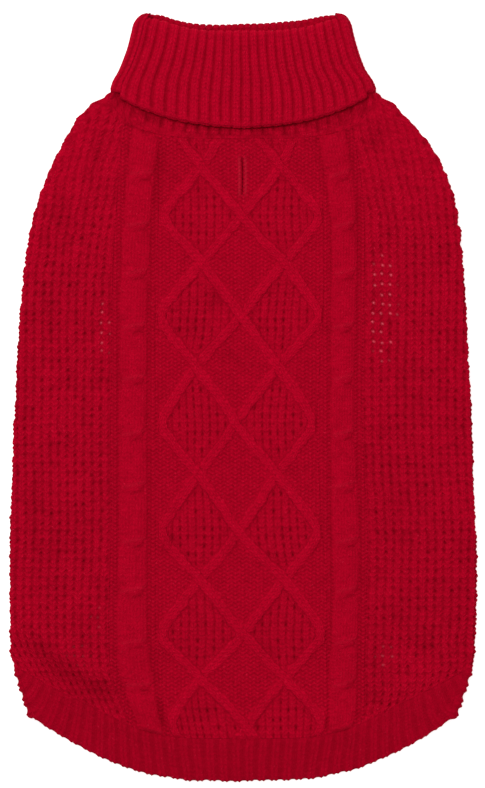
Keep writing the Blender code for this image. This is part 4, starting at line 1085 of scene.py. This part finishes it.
def build_hem_band(material):
    """A ring of ribs: upper face from the left fold to the right one, round it, back underneath, and round
    the left one. Each station is a line from the hem seam to the free edge, which ends in a half round. The
    ribs slant outwards near the folds, and pass round them."""
    across = np.linspace(-1, 1, BAND_RIBS * BAND_SAMPLES + 1)
    fold = np.arange(1, FOLD_STATIONS) / FOLD_STATIONS
    where, turned = round_flat(across, across[::-1], fold)
    arc = (1 + hem_arc(across)) * BAND_RIBS / 2
    number = np.concatenate([
        arc, BAND_RIBS + BAND_FOLD_RIBS * fold, BAND_RIBS + BAND_FOLD_RIBS + arc,
        2 * BAND_RIBS + BAND_FOLD_RIBS * (1 + fold),
    ])[:, None]
    is_fold = (turned > 0) & (turned < np.pi)
    is_top = turned == 0
    side = np.where(where < 0, -1, 1)[:, None]
    top_a, top_b = band_line(where, turned, HEM_SEAM_TOP, HEM_EDGE_TOP)
    under_a, under_b = band_line(where, turned, HEM_SEAM_UNDER, HEM_EDGE_UNDER)
    a = np.where(turned == np.pi, under_a, top_a)[:, None, :]
    b = np.where(turned == np.pi, under_b, top_b)[:, None, :]

    # from the seam to the free edge, and half round it
    bend = np.append(np.zeros(BAND_ROWS), EDGE_ANGLES)[None, :]
    t = np.append(np.linspace(0, 1, BAND_ROWS), np.ones(len(EDGE_ANGLES)))[None, :]
    half = BAND_WALL / 2
    length = np.linalg.norm(b - a, axis=-1)
    direction = (b - a) / length[..., None]
    slant = BAND_SKEW * (np.clip(np.abs(where) - SKEW_FROM, 0, 1) / (1 - SKEW_FROM))[:, None] ** 2
    number = number - side * slant * (t - 0.5)
    number = number + 0.05 * drift(number / 2, t * 3 + 0 * number, 71)
    rib = double_rib(number)
    edge_wave = 0.0010 * (rib - 0.5) + 0.0006 * drift(number / 1.7, 0 * t, 73)
    reach = t * (length - half + edge_wave) + half * np.sin(bend)
    crest = 1 + 0.15 * drift(number / 1.3, t * 5 + 0 * number, 72)
    legs = plain_legs(3 * number, reach / COURSE)
    deeper = 0.50 + 0.80 * np.sin(turned) + 0.25 * slant / BAND_SKEW
    rise = BAND_RIB_RISE * deeper * rib * crest + 0.6 * STITCH_RISE * legs
    rise = rise * ease(t * length / 0.0045)
    deep = half * (1 - np.cos(bend))
    upright = np.cos(np.clip(bend, 0, np.pi / 2))
    lift = rise * upright - ease(turned / np.pi) * BAND_RIB_RISE * upright

    def face(reach, above, outside, below):
        """Points at distances along the lines. above and below turn the height of a layer into z on the
        band's upper and lower side, and outside turns a fold's radius into the distance from its axis."""
        xy = a + direction * reach[..., None]
        x_abs = np.abs(xy[..., 0])
        y = xy[..., 1]
        low = under_height(x_abs, y)
        radius = fold_radius(x_abs, y)
        out = outside(radius)
        x = np.where(is_fold, side * (x_abs + out * np.sin(turned)), xy[..., 0])
        z_fold = low + radius + out * np.cos(turned)
        z = np.where(is_top, above(top_height(x_abs, y)), np.where(is_fold, z_fold, below(low)))
        return np.stack([x, y, z], -1)

    outer = face(reach, lambda z: z + BAND_WALL + lift - deep, lambda r: r + lift - deep,
                 lambda z: z - lift + deep)
    reach_in = np.linspace(1, 0, BAND_INSIDE_ROWS)[None, :] * (length - half)
    inner = face(reach_in, lambda z: z, lambda r: np.clip(r - BAND_WALL, FOLD_HOLLOW, None),
                 lambda z: z + BAND_WALL)

    shell = Shell("hem")
    # painted shade at the free edge's half round, round the side folds and in the ribs' furrows, lessened
    # where the ribs slant
    edge_shade = 0.25 * ease(bend / np.radians(75)) + 0.25 * np.sin(turned)
    values = knit_values(
        stitch=(3 * number, reach / COURSE, 0.5),
        depth=np.clip(0.03 + 0.28 * (1 - rib) + edge_shade - 0.09 * slant / BAND_SKEW, 0, 1),
    )
    net = shell.add(outer, values)
    net_in = shell.add(inner[:, 1:])
    faces = net.shape[1] + net_in.shape[1]
    heights = ring(np.append(rise, np.zeros(net_in.shape), axis=1))
    net = ring(np.append(net, net_in, axis=1))
    shell.join(grid_triangles(net[:, :faces], heights[:, :faces]))
    shell.join(grid_triangles(net[:, faces - 1:], heights[:, faces - 1:]), wall=True)
    return shell.make(material)


# ---------------------------------------------------------------- collar

# Where the ribs' furrows lie on the collar's upper face. Columns: share of its half-width, rib number
RIB_PLACES = (
    (-1.0, 0.53), (-0.855, 2), (-0.63, 4), (-0.263, 8), (0.066, 12), (0.402, 16), (0.733, 20), (0.921, 22),
    (1.0, 23),
)
RIM_DROP = 0.0003          # the collar thins by this much towards its free edge
EDGE_ROUND = 0.5           # how far its free edge is rounded: 1 would be half a circle
SIDE_RIBS = 3              # ribs round each side fold
RIBS_ROUND = 59            # ribs round the whole tube
TOP_SAMPLES = 230          # grid columns on the collar's upper face, under it and round each side fold
UNDER_SAMPLES = 150
FOLD_SAMPLES = 28
TURN_DOWN_ROWS = 92        # grid rows up the turn-down's outer face, over the fold, down the lining, up the
MOUTH_ROWS = 13            # stand and round the free edge
LINING_ROWS = 16
STAND_ROWS = 17
RIM_ROWS = 5
COLLAR_ROUNDS = 4          # rounds in which the collar's x and y are brought into line


def wide_rib(t):
    """Two stitches up and one down, pulled together: a broad crest with a faint middle line, and a narrow
    furrow round whole numbers."""
    from_furrow = np.abs(off_whole(t))
    crest = ease((from_furrow - 0.03) / 0.20)
    return crest * (1 - 0.16 * bell((from_furrow - 0.5) / 0.07))


def collar_rows():
    """One line for each row along the wall. Columns: share of the way from free edge to fold, depth in the
    wall, reach past the share's own place, direction that ribs rise in (y, z), share of rib height, flare
    towards the neck seam's width, share of the way down to the neck seam, and how far the furrows are
    filled up, as they are in the cast-off rim."""
    bend = COLLAR_DEPTH / 2
    half = (COLLAR_WALL - RIM_DROP) / 2

    def rows(*columns):
        return np.stack(np.broadcast_arrays(*[np.atleast_1d(c).astype(float) for c in columns]), -1)

    up = np.linspace(0, 1, TURN_DOWN_ROWS)
    mouth = np.radians(np.linspace(12, 168, MOUTH_ROWS))
    lining = np.linspace(1, 0.80, LINING_ROWS)
    stand = np.linspace(0, 1, STAND_ROWS)
    stand_ribs = 0.70 * ease((stand - 0.05) / 0.4) * (1 - 0.85 * ease((stand - 0.75) / 0.25))
    plain = np.array([0.05, 0.3, 0.6, 0.97])
    round_edge = np.radians(np.linspace(150, 30, RIM_ROWS))
    rim = 0.50 * (1 - ease((up - 0.01) / 0.045))
    drop = RIM_DROP * (1 - ease(up / 0.05)) ** 1.5
    short = EDGE_ROUND * half
    near_fold = ease((up - 0.86) / 0.14)
    return np.concatenate([
        rows(up, drop, short * (1 - up), 0, 1, 0.80 + 0.20 * ease(up / 0.05) - 0.35 * near_fold, 0, 0, rim),
        rows(1, bend * (1 - np.cos(mouth)), bend * np.sin(mouth), np.sin(mouth), np.cos(mouth),
             0.65, 0, 0, 0),
        rows(lining, COLLAR_DEPTH, 0, 0, -1, 0.4, 0, 0, 0),
        rows([0.7, 0.4, 0.1], COLLAR_DEPTH, 0, 0, -1, 0, 0, 0, 0),
        rows(0, COLLAR_DEPTH, 0, 0, -1, 0, 1, 1, 0),
        rows(0, STAND_LIFT + WALL / 2, 0, 0, -1, 0, 1, 1, 0),
        rows(0, STAND_LIFT, 0, 0, 1, stand_ribs, 1 - 0.55 * stand, 1 - stand, 0),
        rows(plain, STAND_LIFT, 0, 0, 1, 0, 0, 0, 0),
        rows(1, COLLAR_WALL + SEAM_GAP / 2, SEAM_GAP / 2, 0, 1, 0, 0, 0, 0),
        rows(plain[::-1], COLLAR_WALL, 0, 0, -1, 0, 0, 0, 0),
        rows(0, RIM_DROP + half - half * np.cos(round_edge), short - short * np.sin(round_edge),
             -np.sin(round_edge), np.cos(round_edge), 0.6, 0, 0, 0.4),
    ])


def build_collar(material):
    """The neck tube as stations round it and rows along its wall: up the turn-down's outer face, over the
    fold into the mouth, down the lining to the neck seam, up the stand and down the turn-down's inner face
    to the rounded free edge."""
    radius = COLLAR_HEIGHT / 2
    top = np.linspace(-1, 1, TOP_SAMPLES + 1)
    under = np.linspace(1, -1, UNDER_SAMPLES + 1)
    turn = np.arange(1, FOLD_SAMPLES) / FOLD_SAMPLES
    where, turned = round_flat(top, under, turn)
    first, last = RIB_PLACES[0][1], RIB_PLACES[-1][1]
    back_to = RIBS_ROUND + first - SIDE_RIBS
    number = np.concatenate([
        through(top, RIB_PLACES), last + SIDE_RIBS * turn,
        np.linspace(last + SIDE_RIBS, back_to, len(under)), back_to + SIDE_RIBS * turn,
    ])
    where, number = where[:, None], number[:, None]
    is_fold = (turned > 0) & (turned < np.pi)
    is_top = turned == 0
    side = np.where(where < 0, -1, 1)
    share, depth, reach, rise_y, rise_z, rib_share, flare, seam, rim = (c[None, :] for c in collar_rows().T)

    def row_y(x):
        """y of every row: from the free edge to the mouth's fold, or down to the neck seam."""
        a = np.abs(x)
        low = np.where(is_fold, COLLAR_EDGE[-1][1], through(a, COLLAR_EDGE))
        high = np.where(is_top, through(x, MOUTH, 1), through(x, MOUTH, 2)) - COLLAR_DEPTH / 2
        neck = np.where(is_top, through(a, NECK_SEAM_TOP), through(a, NECK_SEAM_UNDER))
        return (low + (high - low) * share + reach) * (1 - seam) + neck * seam

    seam_limit = neck_fold(side)

    def side_limit(y):
        limit = half_width(y, side, COLLAR_SIDE) - radius
        return limit + (seam_limit - limit) * flare

    x = where * seam_limit + 0 * share
    for _ in range(COLLAR_ROUNDS):
        y = row_y(np.where(is_fold, side * (seam_limit + FOLD_REACH * np.sin(turned)), x))
        x = where * side_limit(y)

    wobble = 0.07 * drift(number / 3 + 0 * share, share * 4 + 0 * number, 83)
    rib = wide_rib(number + wobble)
    rib = rib + (0.9 + 0.1 * wave(2 * number) - rib) * rim
    uneven = 1 + 0.10 * drift(number / 1.3 + 0 * share, share * 9 + 0 * number, 84)
    steps = np.abs(np.diff(y, axis=1, prepend=y[:, :1])) + np.abs(np.diff(depth, prepend=0))
    along = np.cumsum(steps, axis=1)
    legs = plain_legs(2 * number, along / COURSE)
    at_mouth = np.where(is_top, 0.9, 0.80 + 0.25 * drift(number / 1.2, 0 * number, 85)) ** rise_y
    at_mouth = at_mouth * (1 - 0.35 * ease((np.abs(where) - 0.85) / 0.12))
    rise = rib_share * at_mouth * (0.85 * RIB_RISE * rib * uneven + 2.3 * STITCH_RISE * legs * rib)
    resting = ease((turned / np.pi - 0.5) / 0.5) * (rise_z > 0) * (depth < COLLAR_WALL / 2)
    rise = rise - resting * RIB_RISE * 1.12 * rib_share
    y = y + rise * rise_y
    out = radius - depth + rise * rise_z
    z = np.where(is_fold, radius + out * np.cos(turned), np.where(is_top, radius + out, radius - out))
    x = np.where(is_fold, x + side * out * np.sin(turned), x)

    shell = Shell("collar_turned_down")
    # painted shade in the ribs' furrows, on the stand under the free edge where it falls in dashes, inside
    # the mouth on the throat's side, and round the side folds
    furrow = (1 - rib) * np.minimum(1, rib_share * 1.5)
    on_stand = (share == 0) & (depth == STAND_LIFT)
    dash = ease(0.5 + 1.1 * drift(3 * number + along / 0.0080, along / 0.0024, 87))
    shadow_under_edge = ease(1 - seam / 0.55) * on_stand
    sides = 0.15 * np.sin(turned) * (depth < COLLAR_WALL / 2)
    values = knit_values(
        stitch=(2 * number, along / COURSE, np.maximum(rib * np.minimum(1, 2 * rib_share), 0.6 * on_stand)),
        depth=np.clip(0.27 * furrow + on_stand * (0.04 + 0.24 * dash) + 0.25 * shadow_under_edge
                      + 0.26 * rise_y * (turned > 0) + sides, 0, 1),
    )
    net = ring(shell.add(np.stack(np.broadcast_arrays(x, y, z), -1), values))
    shell.join(grid_triangles(net, ring(rise)))
    return shell.make(material)


# ---------------------------------------------------------------- yarn materials

BRIGHT_RED = (0.54, 0.0012, 0.021)
# the hem's yarn is the same red, painted darker as shade that falls on the hem band
HEM_SHADED_BRIGHT_RED = (0.49, 0.0009, 0.019)
MIDDLE_RED = (0.34, 0.0006, 0.0120)
# painted shade: the red that hollows, furrows, creases, seams and folds are darkened towards
PAINTED_SHADE_RED = (0.10, 0.0001, 0.002)
FLECK_RED = (0.68, 0.016, 0.050)       # fibre ends that catch the light
PAINTED_LIGHT_RED = (0.97, 0.12, 0.18)          # painted light through the cloth, and painted highlights on the slit's lips and the ropes' crossings
SHEEN_RED = (1.0, 0.004, 0.05)
YARN_BUMP = 0.00030        # metres of bump for the stitches and fibres
FIBRE_SCALE = 1700.0       # noise scales: fibres, clumps of fibres, uneven dye and fibre ends
CLUMP_SCALE = 560.0
DYE_SCALE = 130.0
ENDS_SCALE = 1150.0
ENDS_FROM = 0.665          # only the noise above this shows as fibre ends

# The brightest red of each slot's yarn; the hem's is painted darker, as shade
YARNS = {
    "cable_knit": BRIGHT_RED,
    "plain_knit": BRIGHT_RED,
    "collar_rib": BRIGHT_RED,
    "hem_rib": HEM_SHADED_BRIGHT_RED,
}


class Wires:
    """Adds nodes to a tree and joins them."""

    def __init__(self, tree):
        self.tree = tree

    def node(self, kind, *inputs, **settings):
        """A node with its first inputs fed in order, from sockets or from plain values."""
        made = self.tree.nodes.new(kind)
        for key, value in settings.items():
            setattr(made, key, value)
        for socket, value in zip(made.inputs, inputs):
            self.feed(socket, value)
        return made

    def feed(self, socket, value):
        if isinstance(value, bpy.types.NodeSocket):
            self.tree.links.new(value, socket)
        elif value is not None:
            socket.default_value = value

    def fill_in(self, made, values):
        """Feeds a node's inputs by name, and returns the node."""
        for key, value in values.items():
            self.feed(made.inputs[key], value)
        return made

    def math(self, operation, *values, clamp=False):
        return self.node("ShaderNodeMath", *values, operation=operation, use_clamp=clamp).outputs[0]

    def total(self, start, *terms):
        """start, plus each term's socket times its weight."""
        for value, weight in terms:
            start = self.math("ADD", start, self.math("MULTIPLY", value, weight))
        return start

    def blend(self, share, low, high):
        made = self.node("ShaderNodeMix", data_type="RGBA")
        return self.fill_in(made, {"Factor": share, "A": low, "B": high}).outputs["Result"]


def new_group(name, inputs, outputs):
    """An empty node group with the named sockets, its wires, and its input and output nodes."""
    group = bpy.data.node_groups.new(name, "ShaderNodeTree")
    for label, kind in inputs:
        group.interface.new_socket(label, in_out="INPUT", socket_type=kind)
    for label, kind in outputs:
        group.interface.new_socket(label, in_out="OUTPUT", socket_type=kind)
    wires = Wires(group)
    return group, wires, wires.node("NodeGroupInput").outputs, wires.node("NodeGroupOutput").inputs


def stitch_group(name):
    """A group that turns Stitch into Height: the group, its wires, the parts of Stitch, and the Height."""
    group, w, given, out = new_group(
        name, [("Stitch", "NodeSocketVector")], [("Height", "NodeSocketFloat")])
    return group, w, w.node("ShaderNodeSeparateXYZ", given["Stitch"]).outputs, out["Height"]


def plain_stitch_group():
    """Columns of V stitches. Stitch holds (wales across, courses along, share). Each leg of a V is a short
    round bar that climbs from the middle of its wale to the edge."""
    group, w, parts, out = stitch_group("plain_stitches")
    from_middle = w.math("MULTIPLY", w.math("PINGPONG", w.math("ADD", parts[0], 0.5), 0.5), 2.0)
    phase = w.math("SUBTRACT", parts[1], w.math("MULTIPLY", from_middle, 0.55))
    along = w.math("PINGPONG", phase, 0.5)
    leg = w.math("POWER", w.math("MULTIPLY", along, 2.0), 0.55)
    centred = w.math("SUBTRACT", w.math("MULTIPLY", from_middle, 2.0), 1.0)
    across = w.math("SUBTRACT", 1.0, w.math("POWER", w.math("ABSOLUTE", centred), 2.4))
    height = w.math("MULTIPLY", leg, w.math("POWER", w.math("MAXIMUM", across, 0.0), 0.5))
    w.feed(out, w.math("MULTIPLY", height, parts[2]))
    return group


def purl_stitch_group():
    """Dashes of the purl side on wavy courses. Stitch holds (waves across, courses along, share)."""
    group, w, parts, out = stitch_group("purl_stitches")
    ripple = w.math("COSINE", w.math("MULTIPLY", parts[0], 2 * np.pi))
    phase = w.math("ADD", parts[1], w.math("MULTIPLY", ripple, PURL_RIPPLE))
    ridge = w.math("POWER", w.math("MULTIPLY", w.math("PINGPONG", phase, 0.5), 2.0), 0.7)
    crest = w.math("ADD", 0.8, w.math("MULTIPLY", ripple, 0.2))
    level = w.math("MULTIPLY", w.math("MULTIPLY", ripple, ripple), crest)
    dash = w.math("MULTIPLY", ridge, w.math("ADD", 0.3, w.math("MULTIPLY", level, 0.7)))
    w.feed(out, w.math("MULTIPLY", dash, parts[2]))
    return group


def wool_group():
    """Wool's own surface from Object coordinates: fine fibres and small clumps as height, uneven dye as a
    mask, and the few fibre ends that catch the light."""
    group, w, given, out = new_group(
        "wool_fibre", [("Place", "NodeSocketVector")],
        [(label, "NodeSocketFloat") for label in ("Fibre", "Clump", "Dye", "Ends")])

    def noise(scale, detail, roughness=0.5, distortion=0.0):
        made = w.node("ShaderNodeTexNoise", given["Place"], noise_dimensions="3D")
        w.fill_in(made, {"Scale": scale, "Detail": detail, "Roughness": roughness, "Distortion": distortion})
        return made.outputs[0]

    w.feed(out["Fibre"], noise(FIBRE_SCALE, 3.0, 0.7, 1.2))
    w.feed(out["Clump"], noise(CLUMP_SCALE, 2.0, 0.6, 0.8))
    w.feed(out["Dye"], noise(DYE_SCALE, 2.0))
    ends = w.math("SUBTRACT", noise(ENDS_SCALE, 1.0, 0.5, 0.6), ENDS_FROM)
    w.feed(out["Ends"], w.math("MULTIPLY", ends, 9.0, clamp=True))
    return group


YARN_GROUPS = {"plain": plain_stitch_group(), "purl": purl_stitch_group(), "wool": wool_group()}


def yarn_material(name, bright):
    """Knitted wool. The piece's own values give the stitches, the painted shade and the painted light."""
    material = bpy.data.materials.new(name)
    material.use_nodes = True
    tree = material.node_tree
    w = Wires(tree)

    def group(key, *inputs):
        return w.node("ShaderNodeGroup", *inputs, node_tree=YARN_GROUPS[key]).outputs

    def attribute(key):
        return w.node("ShaderNodeAttribute", attribute_name=key).outputs["Vector"]

    wool = group("wool", w.node("ShaderNodeTexCoord").outputs["Object"])
    plain = group("plain", attribute("stitch"))["Height"]
    purl = group("purl", attribute("purl"))["Height"]
    tone = w.node("ShaderNodeSeparateXYZ", attribute("tone")).outputs
    stitches = w.math("ADD", plain, purl)
    fibre = w.math("SUBTRACT", wool["Fibre"], 0.5)
    clump = w.math("SUBTRACT", wool["Clump"], 0.5)
    height = w.total(stitches, (fibre, 0.9), (clump, 1.6))
    bump = w.fill_in(w.node("ShaderNodeBump"), {"Strength": 1.0, "Distance": YARN_BUMP, "Height": height})

    # raised stitches are painted lighter, a painted highlight, and dye, fibres and clumps vary the red; then
    # come the glints of fibre ends, the painted shade and the painted light through the cloth
    stitch_highlight_and_dye = w.total(w.math("MULTIPLY", stitches, 0.55), (wool["Dye"], 0.6), (fibre, 0.6), (clump, 1.5))
    lit = w.math("SUBTRACT", stitch_highlight_and_dye, 0.05, clamp=True)
    colour = w.blend(lit, (*MIDDLE_RED, 1), (*bright, 1))
    colour = w.blend(w.math("MULTIPLY", wool["Ends"], 0.55), colour, (*FLECK_RED, 1))
    colour = w.blend(tone[0], colour, (*PAINTED_SHADE_RED, 1))
    colour = w.blend(tone[1], colour, (*PAINTED_LIGHT_RED, 1))
    w.fill_in(tree.nodes["Principled BSDF"], {
        "Base Color": colour,
        "Normal": bump.outputs["Normal"],
        "Roughness": w.total(0.80, (wool["Dye"], 0.18)),
        "Metallic": 0.0,
        "Specular IOR Level": 0.015,
        "Sheen Weight": 0.22,
        "Sheen Roughness": 0.5,
        "Sheen Tint": (*SHEEN_RED, 1),
    })
    return material


# ---------------------------------------------------------------- the laid sweater


def settle(piece, node):
    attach(piece, "root")
    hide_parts(node)


def build_sweater():
    yarn = {slot: yarn_material(slot + "_wool", bright) for slot, bright in YARNS.items()}
    cable_knit = yarn["cable_knit"]
    back = [build_centre(cable_knit), *build_cables(cable_knit), build_side(-1, cable_knit),
            build_side(1, cable_knit)]
    for piece in back:
        settle(piece, "back_panel")
    settle(build_belly(yarn["plain_knit"]), "belly_panel")
    settle(build_collar(yarn["collar_rib"]), "collar")
    settle(build_hem_band(yarn["hem_rib"]), "hem_band")


# ---------------------------------------------------------------- floor, light and camera

VIEW_CENTRE = (-0.0003, 0.0027)
VIEW_ROWS = 788            # rows of the view, and metres of floor in one of them
ROW_METRES = 0.0006
VIEW_HEIGHT = VIEW_ROWS * ROW_METRES
VIEW_PLANE = 0.004         # height at which the sweater is seen true to scale
CAMERA_HEIGHT = 2.6        # above that plane
SENSOR = 0.024
FLOOR_SIZE = 6.0
FLOOR_DROP = 0.0004        # the floor lies this much below the sweater
SKY_STRENGTH = 0.58

# Columns: name, place, size, power
SOFTBOXES = (
    ("key_from_neck", (-0.60, 0.95, 1.55), 0.9, 18.5),
    ("fill_from_hem", (0.6, -1.3, 1.3), 1.2, 3.0),
)


def build_stage():
    bpy.ops.mesh.primitive_plane_add(size=FLOOR_SIZE, location=(0, 0, -FLOOR_DROP))
    floor = bpy.context.object
    floor.name = "floor"
    paper = bpy.data.materials.new("white_paper")
    paper.use_nodes = True
    Wires(paper.node_tree).fill_in(paper.node_tree.nodes["Principled BSDF"], {
        "Base Color": (0.92, 0.92, 0.92, 1),
        "Roughness": 0.9,
        "Specular IOR Level": 0.1,
        "Emission Color": (1, 1, 1, 1),
        "Emission Strength": 0.6,
    })
    floor.data.materials.append(paper)


def add_softbox(name, place, size, power):
    """A square area light that looks at the sweater's middle."""
    light = bpy.data.lights.new(name, "AREA")
    light.size = size
    light.energy = power
    lamp = bpy.data.objects.new(name, light)
    lamp.location = place
    target = Vector((0, 0, 0)) - Vector(place)
    lamp.rotation_euler = target.to_track_quat("-Z", "Y").to_euler()
    bpy.context.scene.collection.objects.link(lamp)


def build_lights():
    world = bpy.data.worlds.new("studio")
    world.use_nodes = True
    sky = world.node_tree.nodes["Background"]
    sky.inputs["Color"].default_value = (1, 1, 1, 1)
    sky.inputs["Strength"].default_value = SKY_STRENGTH
    bpy.context.scene.world = world
    for softbox in SOFTBOXES:
        add_softbox(*softbox)


def build_camera():
    data = bpy.data.cameras.new("overhead")
    data.sensor_fit = "VERTICAL"
    data.sensor_height = SENSOR * 1000
    data.lens = SENSOR * 1000 * CAMERA_HEIGHT / VIEW_HEIGHT
    data.clip_end = 20
    camera = bpy.data.objects.new("overhead", data)
    camera.location = (*VIEW_CENTRE, CAMERA_HEIGHT + VIEW_PLANE)
    bpy.context.scene.collection.objects.link(camera)
    bpy.context.scene.camera = camera


build_stage()
build_lights()
build_camera()
bpy.context.scene.view_settings.view_transform = "Standard"
build_sweater()
